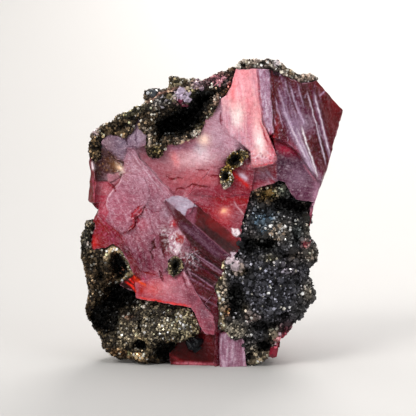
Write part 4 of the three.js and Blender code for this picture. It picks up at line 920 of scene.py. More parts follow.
# Noise for broad clouds, fine texture, drawn-out streaks and small dots.
rock = Noise(11)
grain = Noise(12)
strand = Noise(13)
speck = Noise(14)


def drawn_out(points, direction, spacing, length, bend):
    """Coordinates across a direction of the front plane and along it, in units of spacing and length."""
    x, _, z = points.T
    dx, dz = np.array(direction) / math.hypot(*direction)
    return (x * dz - z * dx + bend) / spacing, (x * dx + z * dz) / length


def stripes(points, direction, spacing, length, salt):
    """Noise drawn out along a direction on the front plane, about -1 to 1."""
    across, along = drawn_out(points, direction, spacing, length, 0.35 * rock(points / 9 + salt))
    return strand.layered(np.stack([across + salt, along, 0.1 * points[:, 1] + salt], axis=1), 2, 0.6)


def near_features():
    """How long a mesh edge may be in each cell of the map of the front plane."""
    wanted = np.full(MAP_SHAPE, FRONT_LENGTH)
    paths = [([*outline, outline[0]], AROUND_OUTLINE) for outline, *_ in REGIONS + CHIPS]
    paths += [(path, width + AROUND_PATH) for path, width, *_ in STREAKS + CRACKS]
    for path, reach in paths:
        first, last = [], []
        for k, (low, size) in enumerate(zip(MAP_CORNER, MAP_SHAPE)):
            places = [p[k] for p in path]
            first.append(max(int((min(places) - reach - low) / MAP_CELL), 0))
            last.append(min(int((max(places) + reach - low) / MAP_CELL) + 2, size))
        i, j = np.mgrid[first[0]:last[0], first[1]:last[1]]
        d, _ = line_distance(MAP_CORNER[0] + MAP_CELL * i.ravel(), MAP_CORNER[1] + MAP_CELL * j.ravel(), path)
        wanted[first[0]:last[0], first[1]:last[1]][d.reshape(i.shape) < reach] = FEATURE_LENGTH
    return wanted


FEATURE_MAP = near_features()

# Behind, the three families of cleavage planes that make the steps, how wide and how deep the steps are, and
# how wide the finer mesh along their edges is.
CLEAVAGES = np.array([(0.94, 0.0, -0.34), (-0.5, 0.1, 0.86), (-0.1, 0.95, 0.3)])
STEP_WIDTHS = np.array([7.0, 13.0, 9.0])
STEP_RIM = 0.22
STEP_DEPTH = 1.3


def chance(*numbers):
    """A fixed random value from 0 to 1 for each set of whole numbers."""
    total = sum(number * factor for number, factor in zip(numbers, (12.9898, 78.233, 37.719)))
    return np.sin(total) * 4375.85 % 1


def vector_noise(points, size, shift, octaves=2):
    """Three different noises at each point."""
    return np.stack([rock.layered(points / size + shift * k, octaves) for k in range(3)], axis=1)


def cleavage_steps(points, normals):
    """How deep the step at each point is and its tone, both 0 to 1, and the distance to its edge."""
    along = (points + 0.3 * vector_noise(points, 2.2, 9, 1)) @ CLEAVAGES.T / STEP_WIDTHS
    along += 0.32 * np.sin(2.1 * along)
    plane = np.argmax(np.abs(normals @ CLEAVAGES.T), axis=1)
    depth, tone, edge = np.zeros(len(points)), np.zeros(len(points)), np.zeros(len(points))
    for k in range(3):
        here = plane == k
        u, v = along[here, k - 1], along[here, k - 2]
        row = np.floor(u)
        v = v + chance(row, k)
        column = np.floor(v)
        # a row of steps lies at one of four depths, and each step in it at one of three
        row_depth = np.round(3 * chance(row, k, 1)) / 3
        depth[here] = 0.55 * row_depth + 0.45 * np.round(2 * chance(row, column, k)) / 2
        tone[here] = 0.5 * chance(row, k, 5) + 0.5 * chance(row, column, k + 7)
        edge[here] = np.minimum(np.minimum(u - row, row + 1 - u) * STEP_WIDTHS[k - 1],
                                np.minimum(v - column, column + 1 - v) * STEP_WIDTHS[k - 2])
    return depth, tone, edge


def crystal_target(middle, facing, normals):
    """Wanted edge length: fine on the front, finest along its outlines and the steps behind."""
    x, y, z = middle.T
    i = np.clip(((x - MAP_CORNER[0]) / MAP_CELL).astype(int), 0, MAP_SHAPE[0] - 1)
    j = np.clip(((z - MAP_CORNER[1]) / MAP_CELL).astype(int), 0, MAP_SHAPE[1] - 1)
    wanted = np.where((y < FRONT_ENDS) & (facing > 0.3), FEATURE_MAP[i, j], SIDE_LENGTH)
    behind = y > BACK_STARTS
    edge = cleavage_steps(middle[behind], normals[behind])[2]
    wanted[behind] = np.where(edge < STEP_RIM, STEP_LENGTH, BACK_LENGTH)
    return wanted


def faded_ends(along, least=0.0):
    """1 along a streak and least at both its ends."""
    return np.minimum(1, 6 * np.minimum(along, 1 - along) + least)


def crack_width(along, width):
    """Half the width of a crack, which narrows to both its ends."""
    return width * np.clip(1.3 * np.sin(math.pi * np.clip(along, 0, 1)), 0.15, 1)


# The crystal's deep rose, its frost and clearness, and the painted red glows of its back: centre and radii.
DEEP_ROSE = (126, 32, 44)
PLAIN_FROST = 0.18
PLAIN_CLEAR = 0.35
PAINTED_RED_GLOWS = (((26, 70), (9, 8)), ((-24, 28), (7, 9)), ((2, 4), (12, 6)))
# What the gloss and the frost add in white, taken off the colour.
WHITE_ADDED = (0.04, 0.03, 0.028)
# How much light goes through where clearness is 1.
SEE_THROUGH = 0.12


class Paint:
    """Colour, frost and clearness of the crystal's points, laid on in layers."""

    def __init__(self, points):
        self.points = points
        self.x, self.y, self.z = points.T
        self.front = ramp(BACK_STARTS, FRONT_FULL, self.y)
        self.fine = grain.layered(points / 1.6, 2)
        self.finer = grain.layered(points / 0.7 + 5, 2)
        # areas have ragged borders
        self.ragged_x = self.x + 0.22 * self.fine
        self.ragged_z = self.z + 0.22 * grain.layered(points / 1.4 + 9, 2)
        self.colour = np.tile(srgb(*DEEP_ROSE), (len(points), 1))
        self.frost = np.full(len(points), PLAIN_FROST)
        self.clear = np.full(len(points), PLAIN_CLEAR)

    def lay(self, strength, display, frost=None, clear=None):
        s = strength[:, None]
        self.colour = self.colour * (1 - s) + srgb(*display) * s
        if frost is not None:
            self.frost = self.frost * (1 - strength) + frost * strength
        if clear is not None:
            self.clear = self.clear * (1 - strength) + clear * strength

    def behind(self, normals, tone):
        """The sides and the back: rose cleavage faces, with clouds, painted red glows, painted light on the
        faces that look up and back, and seams in two directions.
        """
        x, y, z = self.x, self.y, self.z
        patchy = rock.layered(self.points / 6.5, 3)
        cloud = rock.layered(self.points / 15 + 3, 3)
        lit = normals @ np.array([0.35, 0.7, 0.6]) + 0.5 * cloud
        seam = np.column_stack([(0.94 * x - 0.34 * z) / 1.6, y / 6, (0.34 * x + 0.94 * z) / 16])
        seam = strand.layered(seam, 2)
        cross = np.column_stack([(0.6 * x + 0.8 * z) / 1.2 + 40, y / 5, (0.8 * x - 0.6 * z) / 12])
        cross = strand.layered(cross, 2)
        painted_glow = sum(blob(x, z, *spot) for spot in PAINTED_RED_GLOWS)
        self.lay(0.7 * ramp(0.6, 0.8, tone), (172, 92, 110), 0.36, 0.2)
        self.lay(0.75 * ramp(0.45, 0.2, tone), (80, 12, 22), 0.05, 0.5)
        # painted light: faces that look up and back are laid paler
        self.lay(0.25 * ramp(0.1, 1.0, lit), (172, 104, 120), 0.35, 0.18)
        self.lay(0.6 * ramp(0.2, -0.6, cloud + 0.2 * patchy), (108, 24, 36), 0.15, 0.5)
        self.lay(0.3 * ramp(0.2, 0.6, seam), (196, 142, 160), 0.5, 0.1)
        self.lay(0.35 * ramp(-0.15, -0.6, seam), (92, 20, 32), 0.1, 0.4)
        # painted glowing red, as if lit through the crystal
        self.lay(0.5 * np.clip(painted_glow, 0, 1) * ramp(-0.5, 0.5, patchy), (188, 44, 50), 0.15, 0.4)
        self.lay(0.25 * ramp(0.2, 0.6, cross), (190, 138, 156), 0.5, 0.1)

    def areas(self):
        """The regions of the front, with the patches on them."""
        x, z = self.ragged_x, self.ragged_z
        for outline, display, frost, clear, soft in REGIONS:
            self.lay(self.front * within(x, z, outline, soft), display, frost, clear)
        for centre, radii, turn, display, strength, frost, clear in PATCHES:
            self.lay(self.front * strength * blob(x, z, centre, radii, turn), display, frost, clear)

    def striped(self):
        for salt, (outline, direction, spacing, length, share, *looks, _) in enumerate(STRIPES):
            light, dark, more, less, frost = looks
            wave = stripes(self.points, direction, spacing, length, STRIPE_SALT * salt)
            area = self.front * within(self.x, self.z, outline, 0.5)
            self.lay(area * more * ramp(share, share + 0.35, wave), light, frost, 0.15)
            self.lay(area * less * ramp(-0.05, -0.45, wave), dark, 0.12, 0.5)

    def marks(self):
        """Streaks, then chips, then cracks."""
        for path, width, display, strength, frost, _ in STREAKS:
            d, along = line_distance(self.x + 0.12 * self.fine, self.z, path)
            fade = faded_ends(along, 0.25) * (1 + 0.35 * np.clip(self.finer, -1, 0.2))
            self.lay(self.front * strength * fade * gauss(d / width), display, frost, 0.15)
        for outline, _, display, frost, strength in CHIPS:
            inside = within(self.ragged_x, self.ragged_z, outline, 0.25)
            self.lay(self.front * strength * inside, display, frost, 0.1)
        torn = grain.layered(self.points / 0.8 + 23, 2)
        for path, width, _, display in CRACKS:
            d, along = line_distance(self.x + 0.3 * torn, self.z + 0.3 * self.finer, path)
            half = crack_width(along, width)
            self.lay(self.front * 0.85 * ramp(half + 0.14, half * 0.4, d), display, 0.1, 0.4)

    def specks(self):
        for salt, (centre, radii, turn, display, share, strength) in enumerate(SPECKLED):
            dots = speck(self.points / 0.55 + 7.1 * salt) + 0.5 * speck(self.points / 0.3 + salt)
            bound = 0.95 - 1.9 * share
            area = blob(self.x, self.z, centre, radii, turn) ** 0.6
            self.lay(self.front * strength * area * ramp(bound - 0.1, bound + 0.25, dots), display)

    def edge_light_corner_shade(self, bend):
        """Convex edges get a painted highlight, pale, with real frost; inner corners get painted shade, deep
        red.
        """
        self.lay(0.55 * (ramp(0.06, 0.3, bend) * ramp(-0.5, 0.4, self.fine)), (206, 160, 176), 0.7, 0.12)
        self.lay(0.4 * ramp(0.12, 0.35, -bend) * ramp(-0.3, 0.4, self.fine), (104, 22, 34), 0.1, 0.35)

    def result(self):
        colour = self.colour * (1 + 0.14 * self.finer + 0.08 * self.fine)[:, None]
        colour = np.maximum(colour - WHITE_ADDED, 0.2 * colour)
        return np.clip(colour, 0.001, 1), np.clip(self.frost, 0, 1), np.clip(SEE_THROUGH * self.clear, 0, 1)


def paint_crystal(points, normals, bend, tone):
    """Colour, frost and how much light each point lets through. bend is positive on convex edges, tone is
    the steps' own."""
    paint = Paint(points)
    paint.behind(normals, tone)
    paint.areas()
    paint.striped()
    paint.marks()
    paint.specks()
    paint.edge_light_corner_shade(bend)
    return paint.result()


def calm_area(x, z):
    """1 on the smooth facets of the ridge."""
    return np.max([within(x, z, facet, 0.4) for facet in (RIDGE_TOP, RIDGE_CAP, RIDGE_BEVEL)], axis=0)


def eased(points, faces):
    """Lets the lower ledges run out softly: their depth is evened out near the SOFT_EDGES."""
    x, y, z = points.T
    weight = np.zeros(len(points))
    for path, reach in SOFT_EDGES:
        d, _ = line_distance(x, z, path)
        weight = np.maximum(weight, ramp(reach, reach * 0.5, d))
    weight *= ramp(FRONT_ENDS, FRONT_FULL, y)
    pairs = np.sort(np.concatenate([faces[:, :2], faces[:, 1:], faces[:, ::2]]), axis=1)
    a, b = np.unique(pairs, axis=0).T
    count = np.bincount(a, minlength=len(x)) + np.bincount(b, minlength=len(x))
    depth = y.copy()
    for _ in range(EASE_ROUNDS):
        total = np.bincount(a, depth[b], len(x)) + np.bincount(b, depth[a], len(x))
        depth += weight * 0.7 * (total / count - depth)
    points = points.copy()
    points[:, 1] = depth
    return points


# The bright block's two rounded columns: x of the middle, lean, the level at which x holds, and half width.
BLOCK_COLUMNS = ((6.2, 0.1, 66, 1.9), (12.4, -0.16, 58, 1.4))
COLUMN_RISE = 0.32


def crystal_relief(points):
    """How far the front stands out, on top of the cleavage plates."""
    x, _, z = points.T
    height = 0.05 * grain.layered(points / 1.1, 2) + 0.1 * rock(points / 4)
    for path, width, _, _, _, rise in STREAKS:
        if rise:
            d, along = line_distance(x, z, path)
            height += rise * gauss(d / width) * faded_ends(along)
    for outline, rise, *_ in CHIPS:
        height += rise * within(x, z, outline, 0.15)
    for path, width, depth, _ in CRACKS:
        d, along = line_distance(x, z, path)
        height -= depth * ramp(crack_width(along, width) + 0.15, 0, d)
    for salt, (outline, direction, spacing, length, *_, rise) in enumerate(STRIPES):
        wave = stripes(points, direction, spacing, length, STRIPE_SALT * salt)
        height += rise * within(x, z, outline, 0.5) * wave
    height *= 1 - 0.85 * calm_area(x, z)
    block = within(x, z, BRIGHT_BLOCK, 0.8)
    for middle, lean, level, width in BLOCK_COLUMNS:
        height += COLUMN_RISE * block * gauss((x - middle - lean * (z - level)) / width)
    return height


# Grain of the crystal: direction of its fine lines, spacing and length of a line. First on the whole front,
# then in outlines.
FRONT_FLOW = ((1, -0.22), 0.42, 2.6)
FLOWS = [
    (LEFT_FIELD, (1, -0.6), 0.32, 0.9),
    (RED_SHOULDER, (1, -1.1), 0.4, 3.0),
    (RIDGE_TOP, (7.5, -6.4), 0.6, 6.0),
    (RIDGE_BEVEL, (7.5, -6.4), 0.5, 4.0),
    (RIDGE_LOWER, (7.5, -5.2), 0.4, 5.0),
    (BRIGHT_BLOCK, (0.1, -1), 0.45, 2.4),
    (FROSTED_STRIP, (0.1, -1), 0.35, 1.4),
    (RIGHT_FIELD, (5.2, -18), 0.4, 5.0),
    (FOOT_BLOCK, (0.06, 1), 0.4, 4.0),
]

# Behind, the coordinates run along three directions, one to a column, near those of the cleavage planes.
BACK_FLOW = np.array([(0.94, 0.6, 0.1), (0, 0, 0.95), (-0.34, 0.8, 0.3)])
BACK_SPACINGS = (0.42, 2.6, 3.0)


def flow_of(points):
    """Coordinates for the shader's fine lines: across them, along them, and depth."""
    x, y, z = points.T
    flow = np.zeros_like(points)
    bend = 0.3 * rock(points / 6)

    def lay(inside, direction, spacing, length):
        values = np.stack([*drawn_out(points, direction, spacing, length, bend), y / 3], axis=1)
        flow[inside] = values[inside]

    lay(np.full(len(x), True), *FRONT_FLOW)
    flow[y > FRONT_ENDS] = (points @ BACK_FLOW / BACK_SPACINGS)[y > FRONT_ENDS]
    for outline, *line in FLOWS:
        lay((signed_distance(x, z, outline) < 0) & (y < FRONT_ENDS), *line)
    return flow


# Every face is a little uneven, in broad warps and in small ripples: how far they reach, how wide they are.
WARP = 0.14
WARP_SIZE = 7
RIPPLE = 0.09
RIPPLE_SIZE = 1.7
# How deep the nicks in convex edges are.
NICK_DEPTH = 0.45
# Nothing but the flat base comes nearer to the floor than this.
ABOVE_BASE = 0.02


def stepped(points, faces):
    """Pushes the cleavage steps in behind. Gives the points and the tone of each one's step."""
    normals = vertex_normals(points, faces)
    depth, tone, _ = cleavage_steps(points, normals)
    depth *= ramp(BACK_STARTS, BACK_STARTS + 4, points[:, 1]) * ramp(0.3, 2, points[:, 2])
    return points - STEP_DEPTH * depth[:, None] * normals, tone


def roughened(points, soft, normals, bend):
    """The eased points made uneven, with the front's relief and nicks in the convex edges."""
    warp = WARP * vector_noise(points, WARP_SIZE, 30) + RIPPLE * vector_noise(points, RIPPLE_SIZE, 50)
    calm = calm_area(points[:, 0], points[:, 2]) * (points[:, 1] < FRONT_ENDS)
    moved = soft + (1 - 0.9 * calm)[:, None] * warp
    moved[:, 1] -= ramp(FRONT_ENDS, FRONT_ENDS - 3, points[:, 1]) * crystal_relief(points)
    nick = ramp(0.08, 0.3, bend) * np.clip(rock.layered(points / 1.3 + 3, 2) + 0.1, 0, 1)
    moved -= NICK_DEPTH * nick[:, None] * normals
    # the flat base stays flat, and nothing else reaches it
    on_base = points[:, 2] < 0.01
    moved[:, 2] = np.where(on_base, points[:, 2], np.maximum(moved[:, 2], ABOVE_BASE))
    return moved


def make_crystal():
    points, faces = refine(*arrays_of(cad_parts["calcite_crystal"]), crystal_target)
    points, tone = stepped(points, faces)
    normals = vertex_normals(points, faces)
    bend = convexity(points, faces, normals)
    soft = eased(points, faces)
    kept = ramp(0.5, 0.1, np.abs(soft - points).max(1))
    bend *= kept * (1 - 0.7 * calm_area(points[:, 0], points[:, 2]))
    colour, frost, clear = paint_crystal(points, normals, bend, tone)
    values = {"tint": colour, "frost": frost, "clear": clear, "flow": flow_of(points),
              "rear": ramp(FRONT_FULL, BACK_STARTS, points[:, 1])}
    moved = roughened(points, soft, normals, bend)
    obj = mesh_object("calcite_crystal_detail", moved, faces, values, smooth_angle=28)
    obj.data.materials.append(crystal_material())
    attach(obj, "root")
    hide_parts("calcite_crystal")


def convexity(points, faces, normals):
    """Positive on convex edges and negative in inner corners, about the sine of the bend."""
    centre = points[faces].mean(1)
    total, count = np.zeros(len(points)), np.zeros(len(points))
    for k in range(3):
        reach = centre - points[faces[:, k]]
        slope = (reach * normals[faces[:, k]]).sum(1) / np.linalg.norm(reach, axis=1)
        np.add.at(total, faces[:, k], slope)
        np.add.at(count, faces[:, k], 1)
    return -total / count


# Display colours of the material: pale steps, rims of steps, bloom, fine lines of frost, painted glints.
PALE_STEP = (204, 154, 172)
PALE_RIM = (222, 180, 194)
BLOOM = (210, 174, 192)
FROST_LINE = (216, 180, 196)
PAINTED_FROST_GLINT = (246, 222, 232)
# The plates behind: how far the flow is drawn out for them, and how many levels they have.
PLATE_STRETCH = (0.075, 0.1, 0.16)
PLATE_COUNT = 16.0
# Noise scales to the metre: grains of frost, painted glints, and waves of the surface.
FROST_SCALE = 1100
GLINT_SCALE = 3200
WAVE_SCALE = 420
# What deep crystal multiplies the colour by, behind and between the frost.
DEEP_BEHIND = (0.5, 0.24, 0.3)
DEEP_CLEAN = (0.62, 0.3, 0.36)
# The colour that light takes on inside, how fast to the metre, and how strongly it bends.
ABSORBED_TO = (0.85, 0.12, 0.16, 1)
ABSORPTION = 300
CRYSTAL_IOR = 1.6


def step_plates(tree, flow):
    """Long thin plates: how far each point is up its plate, the plate's number and its random tone."""
    place = tree.nodes.new("ShaderNodeVectorMath")
    place.operation = "MULTIPLY"
    tree.links.new(flow, place.inputs[0])
    place.inputs[1].default_value = PLATE_STRETCH
    level = times(tree, noise_node(tree, 1.0, 3, 0.5, place.outputs[0]), PLATE_COUNT)
    plate = maths(tree, "FLOOR", level)
    tones = tree.nodes.new("ShaderNodeTexWhiteNoise")
    tones.noise_dimensions = "1D"
    tree.links.new(plate, tones.inputs["W"])
    return maths(tree, "FRACT", level), plate, tones.outputs["Value"]


def tint_behind(tree, tint, rear, coarse, rise, plate_tone):
    """On the sides and the back, each plate is a little deeper or paler than the next, with a pale rim."""
    deeper = mixed(tree, 1.0, tint, DEEP_BEHIND, "MULTIPLY")
    tint = mixed(tree, times(tree, rear, mapped(tree, plate_tone, 0.5, 0.0, 0, 0.4)), tint, deeper)
    paler = times(tree, rear, mapped(tree, plate_tone, 0.6, 1.0, 0, 0.16))
    tint = mixed(tree, paler, tint, srgb(*PALE_STEP))
    rim = times(tree, mapped(tree, rise, 0.14, 0.0), mapped(tree, coarse, 0.4, 0.6))
    return mixed(tree, times(tree, rear, times(tree, rim, 0.3)), tint, srgb(*PALE_RIM))


def tint_frosted(tree, tint, frosted, bloom, coarse, fine, lines):
    """Clean crystal between the frost is deeper and redder. The frost is a lilac bloom in grains and along
    the fine lines, with tiny white glints as painted highlights."""
    deep = mixed(tree, 1.0, tint, DEEP_CLEAN, "MULTIPLY")

    def laid(tint, share, base, where, strength, colour):
        """share and base say how much of it frosted and clean crystal has."""
        amount = plus(tree, times(tree, frosted, share), base)
        amount = times(tree, amount, where)
        return mixed(tree, times(tree, amount, strength, clamp=True), tint, colour)

    tint = laid(tint, 0.5, 0.35, mapped(tree, lines, 0.5, 0.3), 0.8, deep)
    tint = laid(tint, 1.0, 0.0, mapped(tree, coarse, 0.46, 0.32), 0.6, deep)
    tint = mixed(tree, times(tree, bloom, 0.4), tint, srgb(*BLOOM))
    tint = laid(tint, 0.75, 0.01, mapped(tree, lines, 0.52, 0.7), 0.5, srgb(*FROST_LINE))
    tint = laid(tint, 0.6, 0.25, mapped(tree, fine, 0.46, 0.36), 0.7, deep)
    return laid(tint, 1.0, 0.0, mapped(tree, fine, 0.56, 0.66), 0.4, srgb(*PAINTED_FROST_GLINT))


def crystal_material():
    material, tree, shader, output = new_material("calcite_surface")
    frosted = attribute(tree, "frost")
    rear = attribute(tree, "rear")
    flow = attribute(tree, "flow", kind="Vector")
    coarse = noise_node(tree, FROST_SCALE, 4, 0.65)
    fine = noise_node(tree, GLINT_SCALE, 3, 0.6)
    lines = noise_node(tree, 1.0, 3, 0.65, flow)
    rise, plate, plate_tone = step_plates(tree, flow)
    bloom = times(tree, frosted, mapped(tree, coarse, 0.5, 0.68))
    tint = tint_behind(tree, attribute(tree, "tint", kind="Color"), rear, coarse, rise, plate_tone)
    tint = tint_frosted(tree, tint, frosted, bloom, coarse, fine, lines)
    tree.links.new(tint, shader.inputs["Base Color"])
    rough = plus(tree, times(tree, frosted, 0.4), 0.14)
    rough = plus(tree, rough, mapped(tree, coarse, 0.3, 0.7, -0.05, 0.08))
    smooth = times(tree, rear, mapped(tree, plate_tone, 0.2, 0.8, -0.1, 0.22))
    tree.links.new(plus(tree, rough, smooth, clamp=True), shader.inputs["Roughness"])
    tree.links.new(attribute(tree, "clear"), shader.inputs["Transmission Weight"])
    shader.inputs["IOR"].default_value = CRYSTAL_IOR
    shader.inputs["Specular IOR Level"].default_value = 0.08
    wavy = noise_node(tree, WAVE_SCALE, 4, 0.6)
    height = plus(tree, times(tree, wavy, 0.6), times(tree, bloom, 0.8))
    height = plus(tree, height, times(tree, lines, 0.7))
    height = plus(tree, height, times(tree, rear, times(tree, plate, 1.5)))
    bumped(tree, shader, height, 0.14 * MM)
    volume = tree.nodes.new("ShaderNodeVolumeAbsorption")
    volume.inputs["Color"].default_value = ABSORBED_TO
    volume.inputs["Density"].default_value = ABSORPTION
    tree.links.new(volume.outputs[0], output.inputs["Volume"])
    return material


make_crystal()

# ---------------------------------------------------------------- grains


def hull_shape(corners):
    """The closed convex hull of a few corners: its points and triangles."""
    bm = bmesh.new()
    for corner in corners:
        bm.verts.new(corner)
    bmesh.ops.convex_hull(bm, input=bm.verts[:])
    bmesh.ops.triangulate(bm, faces=bm.faces[:])
    bmesh.ops.recalc_face_normals(bm, faces=bm.faces[:])
    return arrays_and_free(bm)


SIGNS = (-1, 1)
OCTANTS = [(a, b, c) for a in SIGNS for b in SIGNS for c in SIGNS]
CUBE = hull_shape([(0.42 * a, 0.42 * b, 0.42 * c) for a, b, c in OCTANTS])
OCTAHEDRON = hull_shape([tuple(0.62 * s * (k == axis) for k in range(3)) for axis in range(3) for s in SIGNS])
CUT_CUBE = hull_shape([(0.5 * a * (k != 0), 0.5 * (a if k == 0 else b) * (k != 1), 0.5 * b * (k != 2))
                       for k in range(3) for a in SIGNS for b in SIGNS])
WEDGE = hull_shape([(0.6, 0, -0.4), (-0.6, 0, -0.4), (0.35, 0.5, 0.4), (0.35, -0.5, 0.4), (-0.35, 0.4, 0.4),
                    (-0.35, -0.4, 0.4)])


class Pile:
    """Meshes joined into one, with a colour, a metal value and a roughness on every point."""

    def __init__(self):
        self.points, self.faces, self.values, self.count = [], [], [], 0

    def add(self, points, faces, tint, metal, rough):
        self.points.append(points)
        self.faces.append(faces + self.count)
        self.values.append(np.column_stack([tint, metal, rough]))
        self.count += len(points)

    def grains(self, shape, centres, sizes, turns, tint, metal, rough):
        """A copy of the shape at each centre, sizes (n, 3), turns (n, 3, 3), the rest one value each."""
        corners, triangles = shape
        k = len(corners)
        placed = np.einsum("nij,nkj->nki", turns, corners[None] * sizes[:, None]) + centres[:, None]
        faces = (triangles[None] + k * np.arange(len(centres))[:, None, None]).reshape(-1, 3)
        looks = [np.repeat(values, k, axis=0) for values in (tint, metal, rough)]
        self.add(placed.reshape(-1, 3), faces, *looks)

    def build(self, name, smooth_angle):
        values = np.concatenate(self.values)
        attributes = {"tint": values[:, :3], "metal": values[:, 3], "rough": values[:, 4]}
        points = np.concatenate(self.points)
        points[:, 2] = np.maximum(points[:, 2], ABOVE_BASE)
        return mesh_object(name, points, np.concatenate(self.faces), attributes, smooth_angle)


def random_turns(count, rng):
    """Turning matrices, evenly spread over all directions."""
    q = rng.normal(size=(count, 4))
    w, x, y, z = (q / np.linalg.norm(q, axis=1)[:, None]).T
    rows = [1 - 2 * (y * y + z * z), 2 * (x * y - z * w), 2 * (x * z + y * w),
            2 * (x * y + z * w), 1 - 2 * (x * x + z * z), 2 * (y * z - x * w),
            2 * (x * z - y * w), 2 * (y * z + x * w), 1 - 2 * (x * x + y * y)]
    return np.stack(rows, axis=1).reshape(-1, 3, 3)


# Random places tried for each square of the spacing.
TRIES = 1.5


def scattered(points, faces, values, spacing, rng):
    """Random places on a surface, none nearer than spacing to another, with its normals and values there."""
    a, b, c = points[faces[:, 0]], points[faces[:, 1]], points[faces[:, 2]]
    cross = face_normals(points, faces)
    area = np.linalg.norm(cross, axis=1) / 2
    count = int(area.sum() / spacing**2 * TRIES) + 1
    picked = rng.choice(len(faces), count, p=area / area.sum())
    u, v = rng.random(count), rng.random(count)
    flip = u + v > 1
    u[flip], v[flip] = 1 - u[flip], 1 - v[flip]
    places = a[picked] + u[:, None] * (b - a)[picked] + v[:, None] * (c - a)[picked]
    normals = cross[picked] / (2 * area[picked, None] + TINY)
    values = values[faces[picked]].mean(axis=1)
    tree = KDTree(count)
    for index, place in enumerate(places):
        tree.insert(place, index)
    tree.balance()
    free, kept = np.ones(count, bool), []
    for index in range(count):
        if free[index]:
            kept.append(index)
            for _, other, _ in tree.find_range(places[index], spacing):
                free[other] = False
    return places[kept], normals[kept], values[kept]


def remeshed(node, voxel):
    """A CAD solid rebuilt as an even closed mesh: points in millimetres and triangles."""
    copy = bpy.data.objects.new("remesh", node.data.copy())
    bpy.context.scene.collection.objects.link(copy)
    modifier = copy.modifiers.new("voxels", "REMESH")
    modifier.mode = "VOXEL"
    modifier.voxel_size = voxel * MM
    mesh = copy.evaluated_get(bpy.context.evaluated_depsgraph_get()).to_mesh()
    mesh.calc_loop_triangles()
    points = np.empty(len(mesh.vertices) * 3)
    mesh.vertices.foreach_get("co", points)
    faces = np.empty(len(mesh.loop_triangles) * 3, dtype=np.int32)
    mesh.loop_triangles.foreach_get("vertices", faces)
    data = copy.data
    bpy.data.objects.remove(copy)
    bpy.data.meshes.remove(data)
    return points.reshape(-1, 3) / MM, faces.reshape(-1, 3)


# ---------------------------------------------------------------- the crusts

# Each crust is a rough body with grains on it. Lengths are in millimetres, and places are on the front plane.
# voxel: the edge length of the body's mesh. swell: how far the body stands out past the CAD solid.
# lumps: how wide the body's unevenness is, and how high.
# base, grain: display colours of the body and of its grains. spread says how much the grains differ.
# size: the smallest and the largest grain. spacing is between two of them. The glint share is of grains
# painted pale as glints, where the painted light is strong.
# nodules: their spacing, the smallest and the largest.
# hollows: centre, radii, turn, depth, and bumps are hollows with a negative depth. Each hollow is also
# darkened with painted shade.
# the dark spots: centre, radii, turn, strength of painted shade in a gap, which changes no shape.
# tints: centre, radii, turn, display colour, strength.
# shards: centre, how far from it they lie, how many, size, display colour.
# edges: a polyline, its half width, display colour, strength: a paler rim of finer crystals.


def crust(**spec):
    return {"nodules": None, "hollows": [], "darks": [], "tints": [], "shards": [], "edges": [], **spec}


def pit_druse(**spec):
    """The fine druse that lines a pit."""
    return crust(slot="brown_druse", voxel=0.2, swell=0.12, lumps=((1.4, 0.2),), spacing=0.3, **spec)


